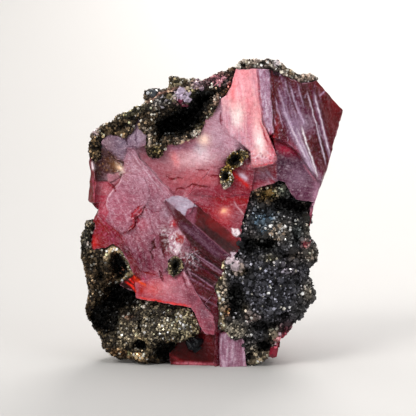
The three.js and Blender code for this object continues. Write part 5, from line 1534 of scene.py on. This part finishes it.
CRUSTS = {
    "right_crust": crust(
        slot="black_crust", voxel=0.42, swell=0.28, seed=31,
        lumps=((5.2, 0.8), (2.3, 0.85), (1.05, 0.55)),
        base=(18, 18, 20), grain=(56, 56, 60), spread=1.15, sparkle=0.02, metal=0.3,
        spacing=0.42, size=(0.34, 0.8), nodules=(1.5, 0.8, 1.7),
        hollows=[
            ((20.2, 41.7), (5.0, 2.0), -12, 3.0), ((9.9, 31.7), (2.0, 2.6), 0, 2.6),
            ((14.4, 31.7), (2.6, 2.0), 0, 2.2), ((6.4, 18.1), (2.4, 4.2), 0, 2.6),
            ((13.6, 5.6), (2.2, 2.0), 0, 2.4), ((18.4, 13.8), (1.2, 1.2), 0, 1.6),
            ((21.3, 33.6), (0.9, 2.0), 0, 1.2), ((14.0, 31.0), (1.6, 1.0), 0, 1.4),
            ((18.0, 29.2), (1.6, 0.8), 0, 1.2), ((9.2, 24.8), (1.5, 1.3), 0, 1.2),
            ((12.4, 11.2), (2.4, 1.8), 0, 1.8), ((18.4, 45.9), (1.7, 1.5), 0, -0.7),
            ((14.8, 45.0), (1.6, 1.3), 0, -0.4), ((5.8, 27.4), (1.7, 1.3), 0, -0.5),
            ((25.7, 29.0), (1.7, 1.7), 0, -0.5), ((24.8, 19.3), (1.5, 2.1), 0, -0.5),
            ((5.8, 9.9), (2.2, 1.6), 0, -0.5),
        ],
        darks=[
            ((12.4, 41.4), (1.4, 1.4), 0, 0.7), ((16.4, 41.2), (2.0, 1.0), 0, 0.8),
            ((23.0, 39.4), (1.4, 1.4), 0, 0.7),
        ],
        tints=[
            ((16.0, 21.5), (8.0, 8.2), 0, (88, 88, 98), 0.9),
            ((13.4, 37.7), (3.4, 2.2), 0, (96, 122, 142), 0.9),
            ((17.4, 35.8), (3.6, 2.6), 0, (158, 150, 142), 0.9),
            ((21.6, 35.4), (1.4, 2.4), 0, (106, 118, 118), 0.7),
            ((16.8, 35.4), (2.0, 1.5), 0, (196, 182, 168), 0.8),
            ((10.2, 36.0), (1.6, 2.4), 0, (98, 88, 84), 0.6),
            ((24.2, 31.9), (0.8, 0.8), 0, (176, 60, 76), 0.9),
            ((18.2, 5.8), (2.0, 3.6), -18, (240, 96, 122), 1.0),
            ((19.6, 25.6), (2.6, 1.2), -20, (150, 140, 150), 0.6),
            ((12.2, 33.6), (1.8, 1.0), 0, (120, 112, 100), 0.5),
            ((14.4, 45.0), (2.0, 1.6), 0, (232, 184, 104), 0.95),
            ((12.0, 44.4), (1.6, 1.2), 0, (82, 66, 46), 0.8),
            ((18.3, 46.0), (1.8, 1.6), 0, (112, 116, 104), 0.95),
            ((19.8, 47.4), (0.9, 0.9), 0, (170, 130, 40), 0.9),
            ((5.8, 27.4), (1.9, 1.4), 0, (214, 200, 206), 0.98),
            ((7.0, 25.4), (1.8, 0.9), 0, (150, 130, 96), 0.8),
            ((25.9, 29.0), (1.9, 1.8), 0, (156, 142, 128), 0.95),
            ((21.5, 29.0), (2.0, 1.4), 0, (132, 116, 100), 0.6),
            ((15.0, 28.8), (1.8, 0.8), 0, (140, 130, 92), 0.6),
            ((24.9, 19.3), (1.7, 2.3), 0, (148, 138, 124), 0.9),
            ((22.5, 15.0), (2.2, 2.6), 0, (104, 102, 102), 0.7),
            ((24.6, 37.0), (1.2, 5.0), 0, (110, 104, 92), 0.7),
            ((24.0, 41.8), (2.4, 0.8), -10, (116, 104, 96), 0.7),
            ((2.6, 18.5), (1.2, 4.6), 0, (190, 172, 152), 0.9),
            ((3.6, 14.6), (0.8, 1.2), 0, (160, 96, 34), 0.8),
            ((6.0, 9.8), (2.8, 1.9), 0, (176, 166, 148), 0.95),
            ((10.0, 13.6), (1.9, 1.1), 0, (140, 116, 104), 0.7),
            ((11.6, 3.0), (3.0, 2.6), 0, (136, 124, 104), 0.85),
            ((15.6, 8.4), (1.2, 2.4), -20, (176, 164, 140), 0.8),
            ((8.0, 16.0), (1.4, 1.2), 0, (118, 104, 62), 0.5),
        ],
        shards=[
            ((5.6, 27.6), 1.5, 9, 1.9, (206, 186, 194)), ((6.6, 26.0), 1.4, 8, 1.2, (176, 158, 150)),
            ((18.6, 7.6), 1.3, 5, 3.0, (168, 48, 72)), ((18.0, 4.6), 1.3, 5, 2.8, (150, 36, 58)),
            ((24.2, 32.2), 1.0, 4, 1.3, (170, 66, 84)), ((25.6, 28.8), 1.8, 14, 0.9, (168, 152, 138)),
            ((2.4, 20.0), 2.2, 12, 0.8, (206, 190, 172)), ((5.6, 9.6), 2.2, 14, 0.8, (182, 172, 158)),
            ((17.2, 35.4), 2.0, 12, 0.9, (170, 150, 132)), ((13.4, 37.6), 2.4, 14, 0.9, (92, 116, 136)),
            ((25.0, 19.4), 1.8, 12, 0.8, (150, 140, 128)),
        ],
        edges=[
            ([(3, 28.2), (2.6, 24), (1.2, 21.8), (1.4, 18.5), (2.2, 15), (2.4, 11.8), (3.6, 9)], 0.5,
             (196, 176, 138), 0.8),
            ([(9.8, 45), (13, 46.9), (15.6, 47.3)], 0.4, (176, 140, 120), 0.7),
            ([(10.6, 43.4), (9.6, 40.4), (8.4, 36)], 0.35, (92, 84, 86), 0.6),
            ([(9.4, 1.0), (12, 1.4), (14.4, 3.4)], 0.5, (190, 170, 140), 0.7),
        ],
    ),
    "lower_left_crust": crust(
        slot="golden_druse", voxel=0.42, swell=0.25, seed=32,
        lumps=((5.0, 0.6), (2.0, 0.45)),
        base=(28, 21, 15), grain=(82, 68, 50), spread=0.9, sparkle=0.05, metal=0.5,
        spacing=0.42, size=(0.38, 0.8),
        hollows=[
            ((-28.4, 12.0), (4.4, 4.2), 0, 3.0), ((-23.6, 17.9), (4.6, 4.2), 10, 4.2),
            ((-24.2, 25.6), (2.4, 3.8), 20, 3.0), ((-18.8, 5.5), (2.1, 1.7), 0, 3.4),
            ((-12.0, 4.1), (3.6, 3.4), 0, 2.6), ((-18.8, 10.2), (0.5, 1.6), 0, 0.7),
            ((-15.8, 12.8), (0.7, 1.6), 20, 0.7), ((-29.5, 24.5), (1.1, 2.8), 0, 1.2),
            ((-5.0, 15.0), (0.6, 1.4), 30, 1.0),
        ],
        darks=[
            ((-30.0, 19.0), (2.0, 2.0), 0, 0.4), ((-32.0, 27.0), (1.6, 3.0), 0, 0.5),
            ((-24.0, 1.6), (2.4, 0.8), 0, 0.6),
        ],
        tints=[
            ((-14.6, 11.6), (7.0, 5.0), 0, (146, 136, 116), 0.95),
            ((-7.2, 11.4), (3.4, 3.6), 0, (242, 228, 186), 0.95),
            ((-21.8, 8.6), (5.0, 4.6), -20, (178, 164, 138), 0.9),
            ((-30.4, 22.0), (2.6, 8.0), 0, (128, 108, 84), 0.85),
            ((-29.0, 27.4), (1.4, 2.0), 0, (120, 104, 84), 0.8),
            ((-26.6, 21.6), (1.6, 1.4), 0, (110, 80, 60), 0.7),
            ((-24.8, 28.4), (1.4, 1.4), 0, (120, 56, 44), 0.8),
            ((-33.2, 33.5), (1.2, 3.6), 0, (112, 110, 96), 0.8),
            ((-33.0, 31.6), (0.7, 0.7), 0, (230, 222, 214), 0.9),
            ((-30.5, 16.0), (2.0, 3.0), 0, (70, 60, 44), 0.6),
            ((-22.5, 2.8), (4.0, 0.8), -8, (176, 124, 74), 0.7),
            ((-22.2, 12.6), (2.0, 0.8), 0, (110, 20, 26), 0.5),
        ],
        shards=[
            ((-33.0, 31.8), 1.0, 3, 1.1, (214, 204, 196)), ((-25.0, 24.6), 1.6, 10, 0.7, (118, 74, 54)),
        ],
        edges=[
            ([(-28, 27), (-27.4, 29.8), (-26, 31), (-24.4, 30), (-22.4, 26.8), (-21.2, 24.2), (-23.4, 22.4),
              (-25.4, 21.4)],
             0.5, (238, 210, 166), 1.0),
            ([(-19.7, 7.3), (-17.9, 7.6), (-16.8, 6), (-16.9, 3.6), (-18.4, 2.2), (-22, 2.6)], 0.4,
             (208, 182, 140), 0.85),
            ([(-12, 6.6), (-10.4, 7.6)], 0.3, (170, 140, 100), 0.7),
        ],
    ),
    "top_crust": crust(
        slot="brown_druse", voxel=0.36, swell=0.22, seed=33,
        lumps=((3.6, 0.5), (1.5, 0.42)),
        base=(24, 18, 13), grain=(88, 74, 58), spread=0.95, sparkle=0.05, metal=0.4,
        spacing=0.4, size=(0.36, 0.78),
        hollows=[((-7.6, 64.2), (6.4, 3.4), 28, 2.0), ((-23.5, 62.6), (1.6, 1.1), 30, 0.9)],
        darks=[
            ((-12.6, 62.4), (2.2, 2.4), 40, 0.9), ((-3.4, 68.8), (2.4, 3.6), -30, 0.9),
            ((-28.4, 60.8), (1.0, 0.8), 0, 0.7), ((-19.6, 64.6), (1.4, 0.8), 20, 0.6),
        ],
        tints=[
            ((-26.6, 62.6), (3.0, 1.2), 20, (84, 70, 50), 0.7),
            ((-20.6, 66.4), (3.4, 0.9), 22, (124, 122, 92), 0.7),
            ((-16.6, 72.4), (0.9, 0.9), 0, (170, 160, 150), 0.9),
            ((-14.6, 70.8), (2.0, 1.6), 0, (96, 98, 100), 0.8),
            ((-12.8, 69.2), (3.0, 1.0), 16, (150, 148, 148), 0.8),
            ((-9.0, 73.6), (2.4, 1.6), 0, (128, 120, 92), 0.9),
            ((-8.4, 70.6), (1.6, 1.6), 0, (196, 176, 200), 0.9),
            ((-8.6, 69.0), (1.3, 0.6), 0, (120, 50, 70), 0.8),
            ((-11.4, 70.2), (1.2, 1.0), 0, (120, 100, 50), 0.8),
            ((-4.0, 73.4), (2.6, 1.0), 10, (146, 122, 136), 0.8),
            ((-5.6, 71.6), (1.2, 1.8), 0, (132, 124, 88), 0.8),
            ((0.8, 74.8), (2.6, 1.2), 15, (176, 112, 126), 0.9),
            ((3.6, 73.8), (1.6, 1.4), 30, (88, 84, 88), 0.8),
            ((4.6, 73.0), (0.7, 0.7), 0, (214, 60, 56), 0.8),
            ((3.4, 71.4), (1.3, 0.7), 20, (126, 84, 36), 0.9),
            ((1.2, 69.6), (1.6, 0.9), 40, (170, 142, 128), 0.9),
            ((-1.6, 66.6), (1.3, 1.4), 30, (160, 140, 116), 0.9),
            ((-3.4, 62.4), (0.8, 1.6), 0, (110, 92, 48), 0.8),
            ((-4.4, 60.8), (1.4, 0.6), 20, (176, 166, 156), 0.9),
            ((-8.6, 59.0), (3.0, 0.6), 0, (160, 136, 116), 0.8),
            ((-31.0, 61.6), (0.9, 0.9), 0, (224, 200, 204), 0.95),
            ((-30.9, 57.2), (1.0, 2.6), 0, (92, 72, 42), 0.8),
            ((-14.6, 56.4), (1.2, 1.0), 0, (120, 108, 62), 0.9),
        ],
        shards=[
            ((-15.4, 70.8), 1.6, 10, 1.7, (70, 74, 80)), ((-16.0, 71.6), 1.2, 4, 1.3, (196, 198, 204)),
            ((-13.0, 69.0), 1.8, 12, 1.5, (168, 162, 170)), ((-7.6, 70.6), 1.5, 12, 1.5, (190, 174, 196)),
            ((-7.2, 69.0), 1.3, 8, 1.3, (112, 44, 66)), ((-10.6, 69.6), 1.5, 8, 1.3, (130, 118, 92)),
            ((-3.6, 73.2), 1.8, 9, 1.4, (150, 126, 140)), ((1.6, 74.8), 1.8, 10, 1.4, (186, 122, 136)),
            ((4.2, 73.2), 1.0, 4, 1.0, (206, 52, 50)), ((0.8, 69.6), 1.6, 10, 0.9, (206, 186, 172)),
            ((-4.6, 61.0), 1.2, 8, 0.8, (214, 206, 198)), ((-8.6, 59.2), 1.6, 8, 0.8, (190, 172, 156)),
            ((-31.0, 61.4), 1.0, 3, 1.4, (226, 204, 208)),
        ],
        edges=[
            ([(-28.6, 60.2), (-27, 61.5), (-25, 61), (-22.5, 60.6)], 0.3, (176, 146, 108), 0.8),
            ([(-17.9, 62.4), (-16.2, 60.8), (-16.4, 57.4)], 0.3, (190, 172, 156), 0.7),
            ([(-16.6, 69.0), (-13.4, 71.2), (-10.8, 72.0), (-8, 73)], 0.25, (150, 106, 92), 0.7),
        ],
    ),
    "crown_crust": crust(
        slot="crown_druse", voxel=0.3, swell=0.2, seed=34,
        lumps=((2.2, 0.35), (1.0, 0.2)),
        base=(92, 80, 74), grain=(200, 182, 170), spread=0.75, sparkle=0.16, metal=0.2,
        spacing=0.38, size=(0.38, 0.8),
        hollows=[
            ((8.3, 78.6), (0.7, 0.55), 0, 1.6), ((13.0, 79.0), (0.8, 0.5), 0, 0.9),
            ((17.4, 77.8), (1.0, 0.5), -30, 0.6),
        ],
        darks=[((11.0, 78.3), (0.9, 0.4), 0, 0.7), ((22.4, 76.0), (1.0, 0.4), -10, 0.6)],
        tints=[
            ((8.6, 78.7), (2.4, 1.2), 0, (190, 172, 146), 0.8),
            ((13.0, 79.2), (2.0, 1.0), 0, (196, 178, 168), 0.8),
            ((16.4, 79.0), (1.0, 0.8), 0, (216, 202, 208), 0.9),
            ((19.6, 77.0), (1.8, 0.8), -35, (164, 140, 92), 0.8),
            ((24.0, 75.2), (2.6, 0.8), 0, (196, 170, 150), 0.8),
        ],
        shards=[((8.6, 78.4), 1.8, 8, 1.0, (206, 194, 182)), ((16.4, 78.6), 1.2, 6, 1.1, (222, 210, 216))],
    ),
    "upper_pit_druse": pit_druse(
        seed=35, base=(44, 32, 16), grain=(124, 100, 52), spread=0.6, sparkle=0.12, metal=0.5,
        size=(0.3, 0.62),
        darks=[((5.7, 54.0), (1.9, 1.3), 35, 0.97)],
        tints=[((8.2, 55.6), (1.0, 1.0), 0, (150, 140, 112), 0.8),
               ((7.2, 52.6), (0.8, 0.7), 0, (176, 164, 150), 0.9),
               ((5.0, 54.8), (0.9, 0.9), 0, (120, 90, 36), 0.8)],
    ),
    "middle_pit_druse": pit_druse(
        seed=36, base=(44, 32, 16), grain=(130, 108, 58), spread=0.6, sparkle=0.16, metal=0.5,
        size=(0.3, 0.62),
        darks=[((3.4, 50.0), (0.95, 1.4), 0, 0.97)],
        tints=[((3.3, 47.3), (1.0, 0.8), 0, (208, 198, 190), 0.9),
               ((2.6, 49.0), (0.6, 1.2), 0, (186, 170, 150), 0.8)],
    ),
    "lower_pit_druse": pit_druse(
        seed=37, base=(56, 46, 34), grain=(150, 134, 104), spread=0.5, sparkle=0.14, metal=0.4,
        size=(0.28, 0.56),
        darks=[((-9.6, 26.7), (1.1, 1.9), 0, 0.97)],
        tints=[((-9.2, 25.0), (1.4, 0.8), 0, (116, 110, 90), 0.7)],
    ),
}

# The vug of the top crust: its outline on the front plane, and where along y it starts to get dark and where
# it is dark.
VUG_RIM = -16.4
VUG_DARK = -13.6
VUG_OUTLINE = [
    (-3.9, 71.8), (0, 72.2), (3.6, 72.8), (2, 70.8), (-0.2, 69.4), (-1.6, 66.8), (-3.2, 65.2), (-4, 62.6),
    (-5.4, 61.4), (-7.4, 60.8), (-9, 59.8), (-12.2, 60), (-13.6, 58.4), (-14.4, 56.6), (-15.6, 56.4),
    (-15.8, 59), (-15.6, 61), (-17.2, 62.8), (-16.6, 64.2), (-14, 64.9), (-12, 66.3), (-9, 67), (-6, 68),
    (-4.2, 70),
]


def crust_colour(spec, points, base, noise):
    """Colours of a crust at the points, how much light it keeps under the painted shade of its hollows and
    dark spots, and where its pale rims are.
    """
    x, _, z = points.T
    tint = np.tile(srgb(*base), (len(points), 1))
    ratio = 0.85 * srgb(*base) / srgb(*spec["grain"])
    for centre, radii, turn, display, strength in spec["tints"]:
        s = (strength * blob(x, z, centre, radii, turn))[:, None]
        tint = tint * (1 - s) + srgb(*display) * ratio * s
    rim = np.zeros(len(points))
    for path, width, display, strength in spec["edges"]:
        d, _ = line_distance(x, z, path)
        s = (strength * gauss(d / width))[:, None]
        rim = np.maximum(rim, s[:, 0])
        tint = tint * (1 - s) + srgb(*display) * s
    tint *= (1 + 0.5 * noise(points / 2.5) + 0.3 * noise(points / 1.1 + 4))[:, None]
    # painted shade: the hollows and the dark spots darken the colour
    light = np.ones(len(points))
    for centre, radii, turn, depth in spec["hollows"]:
        if depth > 0:
            shadow = min(0.98, 0.3 * depth + 0.35)
            light *= 1 - shadow * ramp(0.12, 0.55, blob(x, z, centre, radii, turn))
    for centre, radii, turn, strength in spec["darks"]:
        light *= 1 - strength * ramp(0.2, 0.5, blob(x, z, centre, radii, turn))
    return np.clip(tint, 0.001, 1), np.maximum(light, 0.9 * rim), rim


# Lumps at least this wide are round, and narrower ones have sharp ridges.
BROAD_LUMP = 4
# How far a crust's grains may pass the box of its CAD solid.
PAST_BOX = 0.45


def crust_body(node, spec, noise):
    """The crust's rough body: the CAD solid swollen a little, lumpy, with its hollows pushed in. Gives its
    points, its triangles and a painted shade for each point, lightest on the crests of the lumps and dark
    between them."""
    points, faces = remeshed(node, spec["voxel"])
    normals = vertex_normals(points, faces)
    height = np.zeros(len(points))
    for size, rise in spec["lumps"]:
        wave = noise(points / size + size)
        height += rise * wave * 0.6 if size >= BROAD_LUMP else rise * (0.55 - 1.5 * np.abs(wave))
    moved = points + normals * (spec["swell"] + height)[:, None]
    reach = sum(rise for _, rise in spec["lumps"])
    # painted shade: lighter on the lumps' crests, darker in the ground between them
    painted_lump_shade = 0.08 + 1.4 * ramp(-0.45 * reach, 0.5 * reach, height)
    facing = ramp(0.0, 0.6, -normals[:, 1])
    for centre, radii, turn, depth in spec["hollows"]:
        dent = ramp(0.05, 0.75, blob(points[:, 0], points[:, 2], centre, radii, turn))
        moved[:, 1] += depth * facing * dent
    return moved, faces, painted_lump_shade


def keep_in_box(points, node, extra=PAST_BOX):
    """Keeps a piece's points within its CAD solid's box and a little more."""
    low, high = np.array(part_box(node)) / MM
    return np.clip(points, low - extra, high + extra)


GRAIN_SHAPES = (CUBE, OCTAHEDRON, CUT_CUBE, WEDGE)
SHARD_SHAPES = (CUBE, CUT_CUBE, WEDGE)
PAINTED_GLINT_GRAIN = (226, 220, 208)
# A grain grows only where this far above its place is free of the crystal.
FREE_ABOVE = 0.9


def vug_light(name, points, noise):
    """How much light the points keep: the vug gets dark with its depth, less so at its left end."""
    if name != "top_crust":
        return np.ones(len(points))
    x, y, z = points.T
    depth = ramp(VUG_RIM, VUG_DARK, y + 1.5 * noise(points / 1.7))
    kept = 0.03 + 0.22 * ramp(-11, -14, x)
    return 1 - (1 - kept) * depth * within(x, z, VUG_OUTLINE, 0.7)


def add_body(pile, name, spec, body, faces, painted_lump_shade, noise):
    tint, light, rim = crust_colour(spec, body, spec["base"], noise)
    # painted shade of the hollows, the dark spots, the ground between the lumps and the vug
    shade = (light * painted_lump_shade * vug_light(name, body, noise))[:, None]
    rough = np.clip(0.55 + 0.2 * noise(body / 0.8), 0.2, 0.9)
    pile.add(body, faces, tint * shade, spec["metal"] * 0.5 * (1 - rim), rough)


def add_nodules(pile, name, spec, surface, noise, rng, crystal):
    """Larger, darker crystals, sunk into the body."""
    spacing, small, large = spec["nodules"]
    places, ups, height = outside(*scattered(*surface, spacing, rng), crystal)
    count = len(places)
    sizes = rng.uniform(small, large, (count, 1)) * rng.uniform(0.75, 1.2, (count, 3))
    colour, light, _ = crust_colour(spec, places, spec["grain"], noise)
    # the painted shade of the ground between the lumps
    light *= height
    bright = np.exp(rng.normal(-0.5, 0.55, count))[:, None]
    pile.grains(CUT_CUBE, keep_in_box(places - 0.22 * sizes * ups, name, 0), sizes, random_turns(count, rng),
                colour * bright * light[:, None], rng.uniform(0, spec["metal"], count),
                rng.uniform(0.25, 0.6, count))


def add_grains(pile, name, spec, surface, noise, rng, crystal):
    """The grains that cover the body. Gives their places and which way is up at each."""
    places, ups, height = outside(*scattered(*surface, spec["spacing"], rng), crystal)
    count = len(places)
    colour, light, rim = crust_colour(spec, places, spec["grain"], noise)
    # the painted shade between the lumps and in the vug, except on the pale rims
    light *= np.maximum(height, 0.8 * rim) * vug_light(name, places, noise)
    bright = np.exp(rng.normal(-0.2, spec["spread"], count))
    colour = np.clip(colour * bright[:, None], 0, 0.9)
    # painted highlights: grains painted pale as glints, only where the painted light is strong
    sparkle = rng.random(count) < spec["sparkle"] * ramp(0.15, 0.6, light)
    colour[sparkle] = srgb(*PAINTED_GLINT_GRAIN) * rng.uniform(0.6, 1.0, (sparkle.sum(), 1))
    low, high = spec["size"]
    sizes = rng.uniform(low, high, (count, 1)) * rng.uniform(0.8, 1.2, (count, 3))
    turns = random_turns(count, rng)
    metal = np.clip(spec["metal"] + rng.normal(0, 0.2, count), 0, 1)
    metal = np.where(sparkle, 0.1, metal) * (1 - rim)
    rough = np.where(sparkle, 0.12, rng.uniform(0.16, 0.42, count))
    kind = rng.integers(0, len(GRAIN_SHAPES), count)
    for k, shape in enumerate(GRAIN_SHAPES):
        m = kind == k
        pile.grains(shape, keep_in_box(places[m] + 0.05 * ups[m], name), sizes[m], turns[m],
                    colour[m] * light[m][:, None], metal[m], rough[m])
    return places, ups


def add_shards(pile, name, spec, places, ups):
    """Single larger crystals among the grains, on the side that faces the front."""
    rng = np.random.default_rng(spec["seed"] + 100)
    for (cx, cz), reach, count, size, display in spec["shards"]:
        hidden = ups[:, 1] > -0.1
        order = np.argsort(np.hypot(places[:, 0] - cx, places[:, 2] - cz) + 99 * hidden)
        nearest = max(count, int(2.5 * (reach / spec["spacing"]) ** 2))
        chosen = rng.choice(order[:nearest], count, replace=False)
        sizes = size * rng.uniform(0.5, 1.15, (count, 3))
        shape = SHARD_SHAPES[rng.integers(0, len(SHARD_SHAPES))]
        colour = srgb(*display) * rng.uniform(0.75, 1.15, (count, 1))
        pile.grains(shape, keep_in_box(places[chosen] - 0.1 * size * ups[chosen], name, 0), sizes,
                    random_turns(count, rng), colour, np.zeros(count), rng.uniform(0.12, 0.4, count))


def make_crust(name, spec, crystal):
    rng = np.random.default_rng(spec["seed"])
    noise = Noise(spec["seed"])
    body, faces, painted_lump_shade = crust_body(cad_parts[name], spec, noise)
    body = keep_in_box(body, name)
    surface = body, faces, painted_lump_shade
    pile = Pile()
    add_body(pile, name, spec, *surface, noise)
    if spec["nodules"]:
        add_nodules(pile, name, spec, surface, noise, rng, crystal)
    places, ups = add_grains(pile, name, spec, surface, noise, rng, crystal)
    add_shards(pile, name, spec, places, ups)
    obj = pile.build(name + "_detail", smooth_angle=38)
    obj.data.materials.append(crust_material(spec["slot"]))
    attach(obj, "root")
    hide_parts(name)


def outside(places, ups, values, crystal):
    """Leaves out places whose way out runs into the crystal."""
    free = [crystal.ray_cast(p + 0.02 * n, n, FREE_ABOVE)[0] is None for p, n in zip(places, ups)]
    return places[free], ups[free], values[free]


# Noise scales to the metre: dark spots and pits in the grains.
MOTTLED_SCALE = 2200
PITTED_SCALE = 1500


def crust_material(slot, gloss=0.2):
    name = slot + "_grains"
    if name in bpy.data.materials:
        return bpy.data.materials[name]
    material, tree, shader, _ = new_material(name)
    mottling = noise_node(tree, MOTTLED_SCALE, 3, 0.6)
    dark = mapped(tree, mottling, 0.35, 0.75, 0.0, 0.55)
    tint = mixed(tree, dark, attribute(tree, "tint", kind="Color"), (0, 0, 0))
    tree.links.new(tint, shader.inputs["Base Color"])
    tree.links.new(attribute(tree, "metal"), shader.inputs["Metallic"])
    shader.inputs["Specular IOR Level"].default_value = gloss
    rough = plus(tree, attribute(tree, "rough"), mapped(tree, mottling, 0.3, 0.7, -0.06, 0.1), clamp=True)
    tree.links.new(rough, shader.inputs["Roughness"])
    bumped(tree, shader, noise_node(tree, PITTED_SCALE, 3, 0.6), 0.1 * MM)
    return material


def make_crusts():
    points, faces = arrays_of(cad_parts["calcite_crystal"], weld=False)
    crystal = BVHTree.FromPolygons(points.tolist(), faces.tolist())
    for name, spec in CRUSTS.items():
        make_crust(name, spec, crystal)


# ---------------------------------------------------------------- the black crystal

# Its bodies: how far each lies from the middle, in radii, and its scale.
BLACK_BODIES = (((0, 0, 0), 1.0), ((0.36, -0.3, 0.3), 0.7), ((-0.4, -0.36, -0.1), 0.62),
                ((0.1, -0.34, -0.5), 0.55), ((-0.2, -0.1, 0.56), 0.55), ((0.02, -0.5, 0.1), 0.5))
BLACK = (7, 8, 11)


def blunt_tetrahedron(turn):
    """A cube with every corner cut, four of them deeply."""
    corners = []
    for octant in OCTANTS:
        blunt = 0.78 if math.prod(octant) > 0 else 0.42
        for k in range(3):
            corner = np.array(octant) * blunt
            corner[k] *= 0.62
            corners.append(tuple(turn @ corner))
    return hull_shape(corners)


def make_black_crystal():
    """A sphalerite crystal: blunt tetrahedral bodies grown into each other in steps."""
    rng = np.random.default_rng(41)
    low, high = np.array(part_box("black_crystal")) / MM
    centre, radius = (low + high) / 2, (high - low) / 2
    pile = Pile()
    shape, faces = blunt_tetrahedron(random_turns(1, rng)[0])
    n = len(shape)
    for shift, scale in BLACK_BODIES:
        points = np.clip(centre + (np.array(shift) + shape * scale * 1.15) * radius, low - 0.1, high + 0.1)
        shade = srgb(*BLACK) * rng.uniform(0.5, 2.2)
        pile.add(points, faces, np.tile(shade, (n, 1)), np.full(n, 0.2), np.full(n, 0.12))
    obj = pile.build("black_crystal_detail", smooth_angle=12)
    obj.data.materials.append(crust_material("black_crystal", 0.15))
    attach(obj, "root")
    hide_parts("black_crystal")


make_crusts()
make_black_crystal()
